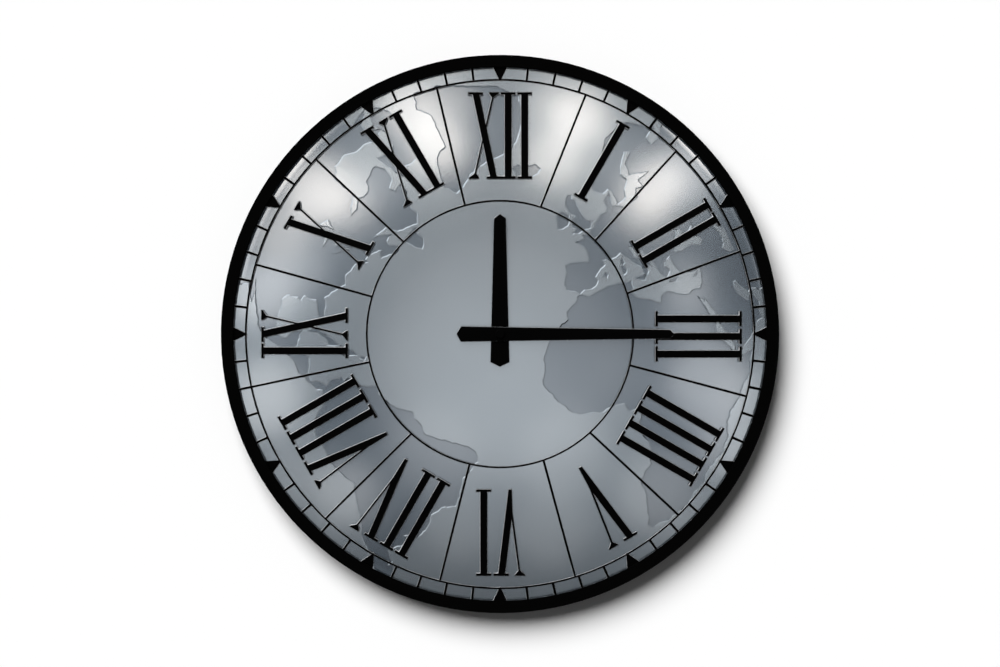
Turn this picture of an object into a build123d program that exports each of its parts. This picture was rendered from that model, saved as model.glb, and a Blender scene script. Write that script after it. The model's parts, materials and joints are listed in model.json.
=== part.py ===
"""Wall clock with a domed world-map dial, in millimetres.

The dial faces -Y and +Z is up. The origin is on the arbor axis, in the wall
plane. A depth h is the distance in front of the wall, so its y is -h. Clock
angles are in degrees, clockwise from twelve as the reader sees the dial.
"""
from build123d import *
from math import asin, cos, degrees, hypot, radians, sin, sqrt, tan
import os

os.makedirs("parts", exist_ok=True)

# Case: a black bezel round a shallow steel pan
CLOCK_RADIUS = 152.5
BEZEL_WALL = 2.0
LIP_WIDTH = 6.8
LIP_THICK = 2.0
LIP_CLEAR = 0.1
BEZEL_EDGE = 0.6
BEZEL_SETBACK = 0.5
PAN_GAP = 0.2
PAN_WALL = 1.2
PAN_DEPTH = 12.0
WINDOW_RADIUS = 50.0
WINDOW_HEM = 2.0
KEYHOLE_RISE = 104.0
KEYHOLE_RADIUS = 4.5
KEYHOLE_SLOT = 4.5
KEYHOLE_TRAVEL = 11.0
SCREW_ANGLES = (45, 135, 225, 315)
SCREW_RADIUS = 1.5
SCREW_HEAD_RADIUS = 2.7
SCREW_LENGTH = 6.0
SCREW_HEAD_ANGLE = 90
SCREW_FIT = 0.03
SCREW_SLOT = 0.6

# Dial: a domed plate, a raised sea sheet and black fittings on it
DIAL_THICK = 0.8
DIAL_GAP = 0.3
DOME_TUCK = 1.8
DOME_RISE = 14.0
FILM = 0.05
SEA_THICK = 0.8
FRET_THICK = 0.4
NUMERAL_THICK = 1.0
TUCK_EDGE = 0.5
GASKET_GAP = 0.3

# Dial graduations
TICK_LENGTH = 6.8
TICK_WIDTH = 1.5
LINE_WIDTH = 1.3
RING_WIDTH = 1.1
HOUR_MARK_BASE = 8.4
HOUR_MARK_LENGTH = 8.1
INNER_RING_RADIUS = 72.65
# Clock angles of each dividing bar, at the inner circle and at the minute track
DIVIDERS = (
    (17.7, 19.7), (45.5, 43.9), (72.2, 71.0), (103.5, 104.2), (137.6, 135.4), (161.0, 162.8),
    (193.2, 193.7), (221.7, 223.4), (257.9, 258.0), (286.3, 285.9), (313.7, 313.5), (344.7, 345.6),
)

# Numerals: height and stroke widths of the upright Roman letters
NUMERAL_HEIGHT = 47.8
STEM = 4.2
HAIRLINE = 1.35
SERIF = 8.6
SERIF_THICK = 1.8
HAIR_SERIF = 6.0
HAIR_BRACKET = 3.2
APEX_FLAT = 2.2
APEX_JOIN = 13.1
# Hour: drop of the top below the minute track, then the strokes, placed by their
# distance clockwise from the hour line. I: stem. V: thick top, foot, thin top.
# X: thick top, thick foot, thin top, thin foot.
NUMERALS = {
    1: (5.4, (("I", 0.9),)),
    2: (4.5, (("I", -4.4), ("I", 4.6))),
    3: (6.7, (("I", -8.3), ("I", 1.3), ("I", 10.9))),
    4: (6.7, (("I", -12.4), ("I", -3.0), ("I", 6.5), ("I", 16.0))),
    5: (6.7, (("V", -6.4, -1.5, 4.5),)),
    6: (6.7, (("V", -0.7, -5.5, -10.9), ("I", 8.9))),
    7: (6.7, (("I", -13.6), ("I", -4.2), ("V", 5.5, 10.1, 15.8))),
    8: (10.8, (("V", -11.2, -16.1, -21.3), ("I", -1.6), ("I", 7.9), ("I", 17.4))),
    9: (8.4, (("I", -9.1), ("X", -0.2, 10.1, 10.4, -0.9))),
    10: (7.3, (("X", -4.9, 5.0, 5.3, -5.5),)),
    11: (5.4, (("X", -7.2, 2.8, 3.1, -8.2), ("I", 10.7))),
    12: (6.7, (("X", -13.4, -3.3, -3.3, -14.2), ("I", 4.4), ("I", 13.4))),
}

# Hands: black bars with a shallow point at both ends
HAND_THICK = 0.8
HAND_GAP = 0.6
HOUR_TIP = 65.5
HOUR_TAIL = 17.9
HOUR_TIP_HALF = 3.3
HOUR_TAIL_HALF = 5.2
MINUTE_TIP = 95.0
MINUTE_TAIL = 23.8
MINUTE_TIP_HALF = 2.5
MINUTE_TAIL_HALF = 4.25
HAND_POINT = 2.5
HAND_NUT_RADIUS = 2.6
HAND_NUT_THICK = 1.6
HAND_NUT_CAP = 0.4
HAND_NUT_BEVEL = 0.4

# Centre fixing through the dial
RUBBER_THICK = 1.0
RUBBER_RADIUS = 8.0
WASHER_THICK = 0.5
WASHER_RADIUS = 4.4
NUT_FLATS = 9.0
NUT_THICK = 2.0
BUSH_RADIUS = 3.5
BUSH_PROUD = 0.5
BUSH_FLANGE_RADIUS = 6.0
BUSH_FLANGE = 0.8
SEAT_FIT = 0.02
RUNNING_FIT = 0.05

# Quartz movement: a square plastic case with the battery along its lower edge
MOVEMENT_SIZE = 56.0
MOVEMENT_WALL = 1.2
COVER_THICK = 1.5
LAYER = 1.7
WHEEL_THICK = 0.8
PINION_THICK = 1.2
BATTERY_RADIUS = 7.1
BATTERY_LENGTH = 49.2
BATTERY_NUB_RADIUS = 2.7
BATTERY_NUB = 1.2
BATTERY_GAP = 0.3
CONTACT_THICK = 0.4

# Arbors of the gear train
PIVOT_RADIUS = 0.5
CLUTCH_RADIUS = 2.4
MINUTE_ARBOR_RADIUS = 1.2
HOUR_PIPE_RADIUS = 2.2
SETTING_ARBOR_RADIUS = 1.0
KNOB_RADIUS = 5.0
KNOB_THICK = 3.0
KNOB_GAP = 0.4
KNOB_GROOVES = 20
KNOB_GROOVE_RADIUS = 0.4

# Gear train: arbor spacings, clock headings and teeth
THIRD_SPACING = 9.0
THIRD_HEADING = 20.0
SETTING_SPACING = 10.0
SETTING_HEADING = -60.0
STEP_SPACING = 7.2
STEP_HEADING = 110.0
ROTOR_SPACING = 7.0
ROTOR_HEADING = 75.0
LEAVES = 8
STEP_WHEEL_TEETH = 48
SECONDS_WHEEL_TEETH = 40
THIRD_WHEEL_TEETH = 60
CENTRE_WHEEL_TEETH = 64
MINUTE_PINION_LEAVES = 10
SETTING_WHEEL_TEETH = 30
HOUR_WHEEL_TEETH = 32

# Stepping motor, coil and circuit
MAGNET_RADIUS = 2.6
STATOR_GAP = 0.4
STATOR_RING = 2.0
STATOR_THICK = 0.8
STATOR_ARM = 3.0
COIL_RADIUS = 3.5
COIL_FLANGE_RADIUS = 3.9
COIL_TUBE_RADIUS = 2.2
COIL_LENGTH = 16.0
COIL_FLANGE = 0.8
CORE_THICK = 0.8
CORE_WIDTH = 3.0
CORE_OVERRUN = 4.0
BOARD_LENGTH = 30.0
BOARD_WIDTH = 8.0
BOARD_THICK = 1.0
CHIP_RADIUS = 2.8
CHIP_THICK = 1.2
CHIP_ROUND = 0.6
CRYSTAL_RADIUS = 1.0
CRYSTAL_LENGTH = 6.0

# Bridge plate over the fast wheels, on three posts
BRIDGE_POSTS = ((-16.0, -8.0), (-14.0, 14.0), (16.0, -8.5))
POST_RADIUS = 1.8
BRIDGE_MARGIN = 2.4
BRIDGE_SCREW_RADIUS = 0.8
BRIDGE_SCREW_HEAD = 1.5

# Derived case and dial sizes
SKIRT_R = CLOCK_RADIUS - BEZEL_WALL
PAN_R = SKIRT_R - PAN_GAP
DIAL_R = SKIRT_R - DIAL_GAP
LIP_R = CLOCK_RADIUS - LIP_WIDTH
DOME_BASE_R = LIP_R + DOME_TUCK
FITTING_R = DOME_BASE_R - TUCK_EDGE
TRACK_R = LIP_R - TICK_LENGTH
MARGIN_H = PAN_DEPTH + DIAL_THICK
APEX_H = MARGIN_H + DOME_RISE
DOME_R = (DOME_BASE_R ** 2 + DOME_RISE ** 2) / (2 * DOME_RISE)
DOME_CENTRE_H = APEX_H - DOME_R
SEA_LIFT = FILM
FRET_LIFT = SEA_LIFT + SEA_THICK + FILM
PRISM_H = APEX_H + FRET_LIFT + NUMERAL_THICK + DIAL_THICK


def front(h):
    """Plane at depth h, parallel to the wall, as the reader sees it."""
    return Plane.XZ.offset(h)


def at_clock(angle, radius):
    """Point of the dial plane at a clock angle."""
    return (radius * sin(radians(angle)), radius * cos(radians(angle)))


def dome_h(radius, lift):
    """Depth of the dome, lifted square to itself, at a distance from the arbor."""
    return DOME_CENTRE_H + sqrt((DOME_R + lift) ** 2 - radius ** 2)


def dome_shell(radius, low, high, mode):
    """Spherical shell of the dial between two lifts."""
    middle = radius / 2
    with BuildSketch(Plane.XY) as section:
        with BuildLine():
            ThreePointArc(
                (0, -dome_h(0, low)), (middle, -dome_h(middle, low)), (radius, -dome_h(radius, low))
            )
            Line((radius, -dome_h(radius, low)), (radius, -dome_h(radius, high)))
            ThreePointArc(
                (radius, -dome_h(radius, high)), (middle, -dome_h(middle, high)), (0, -dome_h(0, high))
            )
            Line((0, -dome_h(0, high)), (0, -dome_h(0, low)))
        make_face()
    revolve(section.sketch, axis=Axis.Y, mode=mode)


def post(h0, h1, radius, at=(0, 0), mode=Mode.ADD):
    """Round post from depth h0 to h1."""
    with BuildSketch(front(h0)) as section:
        with Locations(at):
            Circle(radius)
    extrude(section.sketch, amount=h1 - h0, mode=mode)


def block(h0, h1, low, high, mode=Mode.ADD, corner=0):
    """Rectangular block from depth h0 to h1 between two corners (x, z)."""
    size = (high[0] - low[0], high[1] - low[1])
    with BuildSketch(front(h0)) as section:
        with Locations(((low[0] + high[0]) / 2, (low[1] + high[1]) / 2)):
            if corner:
                RectangleRounded(*size, corner)
            else:
                Rectangle(*size)
    extrude(section.sketch, amount=h1 - h0, mode=mode)


def bar(start, end, width):
    """Corners of a straight bar between two points."""
    length = hypot(end[0] - start[0], end[1] - start[1])
    across = (
        -(end[1] - start[1]) / length * width / 2,
        (end[0] - start[0]) / length * width / 2,
    )
    return [
        (start[0] + across[0], start[1] + across[1]),
        (end[0] + across[0], end[1] + across[1]),
        (end[0] - across[0], end[1] - across[1]),
        (start[0] - across[0], start[1] - across[1]),
    ]


def save(piece, name):
    """Label a finished piece and write its file."""
    piece.part.label = name
    export_step(piece.part, f"parts/{name}.step")


# Bezel: black front ring with its skirt
lip_back = dome_h(LIP_R, FRET_LIFT + FRET_THICK) + LIP_CLEAR
lip_front = lip_back + LIP_THICK
screw_h = PAN_DEPTH / 2
screw_planes = []
for angle in SCREW_ANGLES:
    outward = (sin(radians(angle)), 0, cos(radians(angle)))
    seat = (outward[0] * CLOCK_RADIUS, -screw_h, outward[2] * CLOCK_RADIUS)
    screw_planes.append(Plane(origin=seat, x_dir=(0, -1, 0), z_dir=outward))

with BuildPart() as bezel:
    with BuildSketch(Plane.XY):
        with BuildLine():
            Polyline(
                (SKIRT_R, -BEZEL_SETBACK),
                (CLOCK_RADIUS, -BEZEL_SETBACK),
                (CLOCK_RADIUS, -lip_front),
                (LIP_R, -lip_front),
                (LIP_R, -lip_back),
                (SKIRT_R, -lip_back),
                close=True,
            )
        make_face()
    revolve(axis=Axis.Y)
    front_edges = bezel.edges().group_by(Axis.Y)[0]
    fillet(front_edges, BEZEL_EDGE)
    with Locations(*screw_planes):
        CounterSinkHole(
            SCREW_RADIUS + SCREW_FIT,
            SCREW_HEAD_RADIUS + SCREW_FIT,
            BEZEL_WALL * 2,
            SCREW_HEAD_ANGLE,
        )
save(bezel, "bezel")

# Rear pan: it carries the dial's margin and hangs on the wall
with BuildPart() as rear_case:
    post(0, PAN_DEPTH, PAN_R)
    post(PAN_WALL, PAN_DEPTH, PAN_R - PAN_WALL, mode=Mode.SUBTRACT)
    post(PAN_WALL, PAN_WALL + WINDOW_HEM, WINDOW_RADIUS + PAN_WALL)
    post(0, PAN_WALL + WINDOW_HEM, WINDOW_RADIUS, mode=Mode.SUBTRACT)
    post(0, PAN_WALL, KEYHOLE_RADIUS, at=(0, KEYHOLE_RISE), mode=Mode.SUBTRACT)
    with BuildSketch(front(0)):
        with Locations((0, KEYHOLE_RISE + KEYHOLE_TRAVEL / 2)):
            SlotCenterToCenter(KEYHOLE_TRAVEL, KEYHOLE_SLOT, rotation=90)
    extrude(amount=PAN_WALL, mode=Mode.SUBTRACT)
    with Locations(*screw_planes):
        Hole(SCREW_RADIUS + SCREW_FIT, SCREW_LENGTH)
save(rear_case, "rear_case")

# Four flush countersunk screws through the skirt into the pan
with BuildPart() as case_screws:
    with Locations(*screw_planes):
        Cylinder(SCREW_RADIUS, SCREW_LENGTH, align=(Align.CENTER, Align.CENTER, Align.MAX))
        Cone(
            SCREW_RADIUS,
            SCREW_HEAD_RADIUS,
            (SCREW_HEAD_RADIUS - SCREW_RADIUS) / tan(radians(SCREW_HEAD_ANGLE / 2)),
            align=(Align.CENTER, Align.CENTER, Align.MAX),
        )
        Box(
            SCREW_HEAD_RADIUS * 2,
            SCREW_SLOT,
            SCREW_SLOT,
            align=(Align.CENTER, Align.CENTER, Align.MAX),
            mode=Mode.SUBTRACT,
        )
save(case_screws, "case_screws")

# Rubber ring between the dial's margin and the bezel lip
with BuildPart() as dial_gasket:
    post(MARGIN_H, lip_back, SKIRT_R - GASKET_GAP)
    post(MARGIN_H, lip_back, DOME_BASE_R + GASKET_GAP, mode=Mode.SUBTRACT)
save(dial_gasket, "dial_gasket")

# Domed dial plate with a flat margin
back_dome_r = sqrt((DOME_R - DIAL_THICK) ** 2 - (PAN_DEPTH - DOME_CENTRE_H) ** 2)
bush_hole = BUSH_RADIUS + RUNNING_FIT
with BuildPart() as dial_plate:
    with BuildSketch(Plane.XY):
        with BuildLine():
            ThreePointArc(
                (bush_hole, -dome_h(bush_hole, 0)),
                (DOME_BASE_R / 2, -dome_h(DOME_BASE_R / 2, 0)),
                (DOME_BASE_R, -MARGIN_H),
            )
            Polyline(
                (DOME_BASE_R, -MARGIN_H),
                (DIAL_R, -MARGIN_H),
                (DIAL_R, -PAN_DEPTH),
                (back_dome_r, -PAN_DEPTH),
            )
            ThreePointArc(
                (back_dome_r, -PAN_DEPTH),
                (back_dome_r / 2, -dome_h(back_dome_r / 2, -DIAL_THICK)),
                (bush_hole, -dome_h(bush_hole, -DIAL_THICK)),
            )
            Line((bush_hole, -dome_h(bush_hole, -DIAL_THICK)), (bush_hole, -dome_h(bush_hole, 0)))
        make_face()
    revolve(axis=Axis.Y)
save(dial_plate, "dial_plate")

# World map: longitude and latitude of the coasts, drawn on a round view of the
# globe whose meridians close in and whose parallels bow up to the sides
MAP_LON = -28.7
MAP_LAT = 27.1
MAP_WIDTH = 120.6
MAP_CLOSING = 0.757
MAP_NARROWING = 0.764
MAP_WIDEST_LAT = 4.0
MAP_HEIGHT = 122.9
MAP_STRETCH = 0.127
MAP_BOW = 28.4

NEW_WORLD = (
    (-128, 24), (-130, 35), (-135, 50), (-135, 66), (-110, 68), (-96, 68), (-94, 72), (-92, 69.5), (-86, 68),
    (-82, 69.8), (-81.5, 67.5), (-86, 66), (-87.5, 64), (-92.5, 62.5), (-94.6, 59.5), (-92.5, 57),
    (-88, 56.5), (-82.5, 55.2), (-82, 53), (-80, 51.3), (-78.8, 52.5), (-79.6, 54.7), (-76.6, 57),
    (-78.4, 59), (-77.5, 62.4), (-73.5, 62.3), (-69.8, 61), (-69.5, 58.9), (-67, 58.4), (-64.6, 60.3),
    (-61.5, 57), (-57.5, 54.5), (-55.8, 52.5), (-58.8, 51.3), (-60.2, 50.2), (-66.3, 50.2), (-70, 47.3),
    (-64.4, 48.8), (-65.2, 47.2), (-64, 46.2), (-60.2, 46.6), (-61, 45.2), (-65.6, 43.5), (-66.2, 44.5),
    (-64.6, 45.5), (-67, 44.7), (-70.2, 43.6), (-70.7, 42.4), (-70, 41.7), (-73.8, 40.7), (-74.8, 39),
    (-76, 37.2), (-75.6, 35.2), (-78, 33.9), (-81.2, 31.4), (-80, 26.8), (-80.6, 25.2), (-81.8, 26.2),
    (-82.8, 28.4), (-84, 30), (-85.4, 29.7), (-88.2, 30.3), (-89.2, 29), (-91.5, 29.4), (-94.5, 29.5),
    (-97.2, 27.5), (-97.8, 22.5), (-96, 19.2), (-94.3, 18.2), (-91.8, 18.6), (-90.4, 20.8), (-87, 21.5),
    (-87.6, 19.4), (-88.8, 15.9), (-85.8, 15.9), (-83.2, 15), (-83.7, 11), (-82.2, 9), (-79.8, 9.5),
    (-77.2, 8.6), (-75.4, 10.7), (-72, 12.2), (-71.6, 10.8), (-70, 12), (-68, 10.6), (-62, 10.7),
    (-60.8, 8.5), (-57.3, 6.1), (-52, 4.9), (-50, 1.6), (-48.4, -0.8), (-44.2, -2.6), (-40, -2.9),
    (-35.2, -5.3), (-34.8, -8), (-37.2, -11.4), (-39, -13.5), (-39.3, -17.8), (-41, -22), (-44.8, -23.2),
    (-48.5, -26), (-48.8, -28.6), (-53.5, -34), (-58.2, -34.2), (-57, -36.6), (-62.2, -39), (-65, -41),
    (-65.4, -45), (-67.4, -46.4), (-66, -48), (-69, -51.5), (-68, -55), (-75, -50), (-73.6, -41.5),
    (-73.4, -37), (-71.5, -31), (-70.3, -19), (-76.2, -14), (-79.6, -7.8), (-81.2, -5), (-80, -2.8),
    (-80.2, 0.2), (-77.4, 4), (-78, 7.4), (-80.4, 7.4), (-83, 8.4), (-85.8, 10.4), (-87.7, 13),
    (-92, 14.5), (-95, 16.1), (-99.5, 16.6), (-104.5, 19), (-105.6, 21), (-109, 25.5), (-112, 30),
    (-110, 23.2), (-115, 28),
)
OLD_WORLD = (
    (-5.6, 36.05), (-6.4, 36.9), (-8.9, 37), (-9.4, 38.8), (-8.7, 41.2), (-9.2, 43.1), (-5.8, 43.6),
    (-1.8, 43.4), (-1.2, 45.8), (-2.6, 47.4), (-4.7, 48.2), (-1.6, 48.7), (-1.8, 49.7), (0.2, 49.6),
    (1.6, 50.8), (4.2, 52.2), (5.2, 53.3), (8.4, 53.8), (8.1, 56.6), (10.5, 57.7), (10.6, 56), (9.9, 54.7),
    (12.5, 54.4), (14.2, 54), (18.6, 54.7), (21, 55.4), (21.4, 57.4), (24.2, 57.3), (23.6, 59.1),
    (29.6, 59.8), (25, 60.2), (21.4, 60.8), (21.4, 63), (25.2, 65), (22.3, 65.7), (17.6, 62.4),
    (17.2, 60.7), (18.7, 59.9), (16.6, 57.6), (15.9, 56.1), (12.9, 55.5), (11.4, 58.8), (10.4, 59.2),
    (8, 58.1), (5.6, 58.9), (5, 61.4), (8.6, 63.5), (13, 66.2), (16.5, 68.8), (25.8, 71), (31, 70.2),
    (41, 67.3), (34, 66.6), (35.5, 64.4), (40.2, 64.8), (44, 66.5), (60, 69), (72, 66), (72, 40), (72, 25.5),
    (61.5, 25.1), (57.2, 26.9), (54.5, 26.6), (51, 28.6), (50, 30.2), (48, 30), (49, 27.5), (50.4, 26),
    (51.6, 24.6), (54.5, 24.2), (56.3, 26), (56.8, 24.2), (59.8, 22.5), (57.6, 19), (52.2, 15.7),
    (45, 12.9), (43.4, 12.8), (42.8, 15.5), (39.2, 21.3), (35.2, 28), (34.7, 28.9), (34.2, 27.9),
    (32.6, 29.8), (35.5, 24), (37.3, 18.8), (39.6, 15.2), (43, 12.3), (43.4, 11.4), (51.2, 11.8),
    (50, 8), (47.8, 4.4), (43.5, 0.3), (40.2, -2.8), (39.2, -6), (40.6, -10.8), (40.6, -15), (36.8, -17.9),
    (34.9, -20), (35.5, -23.8), (32.8, -26), (32.4, -28.6), (30, -31.5), (26, -33.8), (20, -34.8),
    (18.3, -33.8), (18.2, -31.8), (15.2, -26.8), (14.4, -22.5), (11.8, -17.8), (13.6, -12.5), (13.2, -8.8),
    (12, -5.6), (9, -1), (9.7, 3.5), (8.4, 4.6), (6, 4.3), (4.4, 6.3), (1.2, 6), (-2, 4.8), (-4, 5.2),
    (-7.5, 4.4), (-11.4, 6.9), (-13.2, 8.9), (-15, 11), (-16.8, 13), (-17.4, 14.7), (-16.3, 17),
    (-17, 21), (-15.8, 24), (-13.2, 27.6), (-9.8, 29.8), (-9.6, 31.6), (-6.9, 34), (-5.9, 35.6),
    (-2.9, 35.2), (0, 35.9), (3, 36.9), (9.8, 37.3), (11, 37), (10.2, 34.3), (11.2, 33.2), (15.3, 32.3),
    (19, 30.3), (20.1, 32), (22, 32.9), (25, 31.6), (29, 30.9), (31.2, 31.6), (34.2, 31.3), (35.5, 33.8),
    (36, 36.6), (32.5, 36.1), (30.6, 36.8), (28.2, 36.7), (26.4, 39.2), (26, 40.8), (23.8, 40.1),
    (22.8, 40.5), (23, 39.2), (24, 37.8), (22.9, 36.5), (21.4, 37.2), (20.8, 38.8), (19.4, 40.8),
    (19.4, 42), (16.5, 43.5), (14.4, 45.2), (12.4, 45.3), (12.4, 44.2), (14, 42.6), (16.1, 41.7),
    (18.4, 40.1), (16.8, 40.4), (17.1, 39), (16, 37.9), (15.6, 40), (12.3, 41.8), (10.4, 43.2), (8.8, 44.4),
    (7.3, 43.7), (4.8, 43.4), (3.1, 43.1), (3.2, 41.9), (0.8, 40.8), (-0.3, 39.5), (0.2, 38.7),
    (-0.8, 37.6), (-2.1, 36.8), (-4.4, 36.7),
)
ISLANDS = (
    # Greenland, Baffin Island and Newfoundland
    ((-44, 59.9), (-48.5, 61), (-52, 64.5), (-53.7, 67.2), (-51, 69.8), (-55, 72.5), (-60, 75.8),
     (-68, 76.3), (-72, 78.5), (-62, 81.5), (-45, 82.5), (-30, 83), (-20, 81), (-18, 78), (-20, 75),
     (-22, 71.5), (-26, 69), (-33, 67.6), (-38, 65.7), (-41, 63), (-42.8, 60.5)),
    ((-65, 61.8), (-71, 62.9), (-77.5, 64.4), (-73, 66), (-73, 68), (-78, 70), (-85, 70), (-89, 71.5),
     (-88, 73.4), (-80, 73.6), (-72, 71.4), (-67, 69.3), (-61.5, 66.8), (-64, 65), (-67.5, 63.6)),
    ((-59.2, 47.8), (-57.2, 50.8), (-55.7, 51.5), (-56, 50), (-53.2, 48.8), (-52.9, 46.8), (-55.6, 47)),
    # Iceland, Great Britain and Ireland
    ((-22.6, 63.9), (-19, 63.4), (-14.6, 64.4), (-13.8, 65.3), (-15.4, 66.3), (-20, 65.9), (-22.6, 66.4),
     (-24.2, 65.5), (-22, 64.8)),
    ((-5.4, 50.1), (-3.5, 50.4), (1.2, 51.1), (1.7, 52.6), (0.2, 53), (-1.6, 55.2), (-2, 57.5), (-3.9, 57.7),
     (-3.2, 58.6), (-5, 58.5), (-6, 56.6), (-4.8, 54.8), (-3, 54.2), (-4.4, 53.2), (-4.2, 52.3),
     (-5.1, 51.8), (-3, 51.4), (-4.4, 51)),
    ((-6.3, 52.2), (-10, 51.6), (-9.2, 53.2), (-9.9, 54.2), (-7.4, 55.3), (-5.7, 54.5)),
    # Cuba, Hispaniola and Puerto Rico
    ((-84.6, 22), (-82.3, 23.1), (-77.5, 21.8), (-74.4, 20.3), (-77.4, 19.9), (-78, 21), (-82, 22.4)),
    ((-74.3, 18.4), (-73, 19.8), (-70, 19.7), (-68.5, 18.5), (-71.5, 17.8)),
    ((-67.2, 18.5), (-65.6, 18.4), (-66, 17.8), (-67.2, 17.9)),
    # Mallorca, Corsica, Sardinia, Sicily, Crete and Cyprus
    ((2.4, 39.6), (3.1, 40), (3.5, 39.6), (3, 39.2)),
    ((8.6, 42.3), (9.4, 42.9), (9.5, 42), (9.1, 41.5)),
    ((8.3, 40.8), (9.2, 41.1), (9.8, 40.3), (9.5, 39.2), (8.6, 39)),
    ((12.5, 38), (15.5, 38.2), (15.1, 36.8), (12.7, 37.5)),
    ((23.6, 35.5), (26.2, 35.3), (25.6, 34.9), (23.7, 35)),
    ((32.4, 35), (34.3, 35.6), (33.8, 34.9), (32.8, 34.6)),
)
INLAND_SEAS = (
    # Black Sea and Caspian Sea
    ((28.2, 41.5), (28.2, 43.3), (29.8, 45.2), (31, 46.5), (33.2, 46), (33.6, 44.6), (36.4, 45.2),
     (38.6, 46.8), (38, 44.4), (41.4, 42.4), (39.4, 41.1), (35.2, 42), (31.4, 41.3)),
    ((50.5, 46.8), (47.4, 45.4), (47.6, 43), (49.4, 40.4), (49, 38.2), (51, 36.8), (53.8, 37), (53, 40.5),
     (52.4, 42.5), (50.8, 44.4), (53, 45.4)),
    # Great Lakes
    ((-92, 46.8), (-88.4, 48.8), (-84.8, 47), (-88, 46.9)),
    ((-87.6, 41.8), (-86.4, 43), (-85, 45.7), (-87.2, 45.2)),
    ((-84, 46), (-80.2, 45), (-82, 43.2), (-83.4, 44.6)),
    ((-83.3, 41.6), (-79, 42.9), (-81.6, 41.6)),
    ((-79.6, 43.4), (-76.4, 44.1), (-77.4, 43.2)),
)


def on_map(place):
    """Point of the dial plane for a longitude and latitude."""
    east = radians(place[0] - MAP_LON)
    north = radians(place[1] - MAP_LAT)
    narrow = cos(MAP_NARROWING * radians(place[1] - MAP_WIDEST_LAT))
    x = MAP_WIDTH * sin(MAP_CLOSING * east) / MAP_CLOSING * narrow
    z = MAP_HEIGHT * north * (1 + MAP_STRETCH * north) + MAP_BOW * (1 - cos(east))
    return (x, z)


# Raised sea sheet with the land cut out of it
nut_reach = NUT_FLATS / sqrt(3)
with BuildPart() as sea_overlay:
    with BuildSketch(front(0)) as sea_outline:
        Circle(FITTING_R)
        Circle(nut_reach + DIAL_GAP, mode=Mode.SUBTRACT)
        for coast in (NEW_WORLD, OLD_WORLD, *ISLANDS):
            with BuildLine():
                Polyline(*[on_map(place) for place in coast], close=True)
            make_face(mode=Mode.SUBTRACT)
        for shore in INLAND_SEAS:
            with BuildLine():
                Polyline(*[on_map(place) for place in shore], close=True)
            make_face()
    extrude(amount=PRISM_H)
    dome_shell(FITTING_R, SEA_LIFT, SEA_LIFT + SEA_THICK, Mode.INTERSECT)
save(sea_overlay, "sea_overlay")

# Black fret: minute track, hour marks, dividing bars and inner circle in one sheet
with BuildPart() as dial_fret:
    with BuildSketch(front(0)) as fret_outline:
        Circle(FITTING_R)
        Circle(LIP_R, mode=Mode.SUBTRACT)
        for ring_r in (TRACK_R, INNER_RING_RADIUS):
            Circle(ring_r + RING_WIDTH / 2)
            Circle(ring_r - RING_WIDTH / 2, mode=Mode.SUBTRACT)
        for minute in range(60):
            angle = minute * 6
            if minute % 5:
                mark = bar(at_clock(angle, TRACK_R), at_clock(angle, FITTING_R - LINE_WIDTH / 2), TICK_WIDTH)
            else:
                half_base = degrees(asin(HOUR_MARK_BASE / 2 / LIP_R))
                mark = [
                    at_clock(angle, LIP_R - HOUR_MARK_LENGTH),
                    at_clock(angle - half_base, LIP_R + LINE_WIDTH / 2),
                    at_clock(angle + half_base, LIP_R + LINE_WIDTH / 2),
                ]
            with BuildLine():
                Polyline(*mark, close=True)
            make_face()
        for inner_angle, outer_angle in DIVIDERS:
            inner_end = at_clock(inner_angle, INNER_RING_RADIUS)
            outer_end = at_clock(outer_angle, TRACK_R)
            with BuildLine():
                Polyline(*bar(inner_end, outer_end, LINE_WIDTH), close=True)
            make_face()
    extrude(amount=PRISM_H)
    dome_shell(FITTING_R, FRET_LIFT, FRET_LIFT + FRET_THICK, Mode.INTERSECT)
save(dial_fret, "dial_fret")


def serif(u, v, width, inward):
    """Flat serif centred on u, at the stroke end v."""
    return [
        (u - width / 2, v),
        (u + width / 2, v),
        (u + width / 2, v + inward * SERIF_THICK),
        (u - width / 2, v + inward * SERIF_THICK),
    ]


def bracket(u, v, inward, lean):
    """Wedge that brings a hairline up to its serif; lean is the stroke's slope."""
    far = u + lean * inward * HAIR_BRACKET
    return [
        (u - HAIR_SERIF / 2, v),
        (u + HAIR_SERIF / 2, v),
        (u + HAIR_SERIF / 2, v + inward * SERIF_THICK / 2),
        (far + HAIRLINE / 2, v + inward * HAIR_BRACKET),
        (far - HAIRLINE / 2, v + inward * HAIR_BRACKET),
        (u - HAIR_SERIF / 2, v + inward * SERIF_THICK / 2),
    ]


def stroke(foot, top, low, high, width):
    """Slanted stroke of constant width across the letter."""
    return [
        (foot - width / 2, low),
        (foot + width / 2, low),
        (top + width / 2, high),
        (top - width / 2, high),
    ]


def letter_i(u, low, high):
    """Upright stem with a serif at both ends."""
    return [stroke(u, u, low, high, STEM), serif(u, low, SERIF, 1), serif(u, high, SERIF, -1)]


def letter_v(thick, foot, thin, low, high):
    """Thick stroke and hairline that meet at a flat foot."""
    side = 1 if thin > thick else -1
    outer_top = thick - side * STEM / 2
    outer_foot = foot - side * APEX_FLAT / 2
    join_v = low + APEX_JOIN
    join = outer_foot + (outer_top - outer_foot) * APEX_JOIN / (high - low) + side * STEM
    body = [
        (outer_top, high),
        (thick + side * STEM / 2, high),
        (join, join_v),
        (foot + side * APEX_FLAT / 2, low),
        (outer_foot, low),
    ]
    lean = (thin - join) / (high - join_v)
    return [
        body,
        stroke(join - side * HAIRLINE / 2, thin, join_v, high, HAIRLINE),
        serif(thick, high, SERIF, -1),
        bracket(thin, high, -1, lean),
    ]


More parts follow.
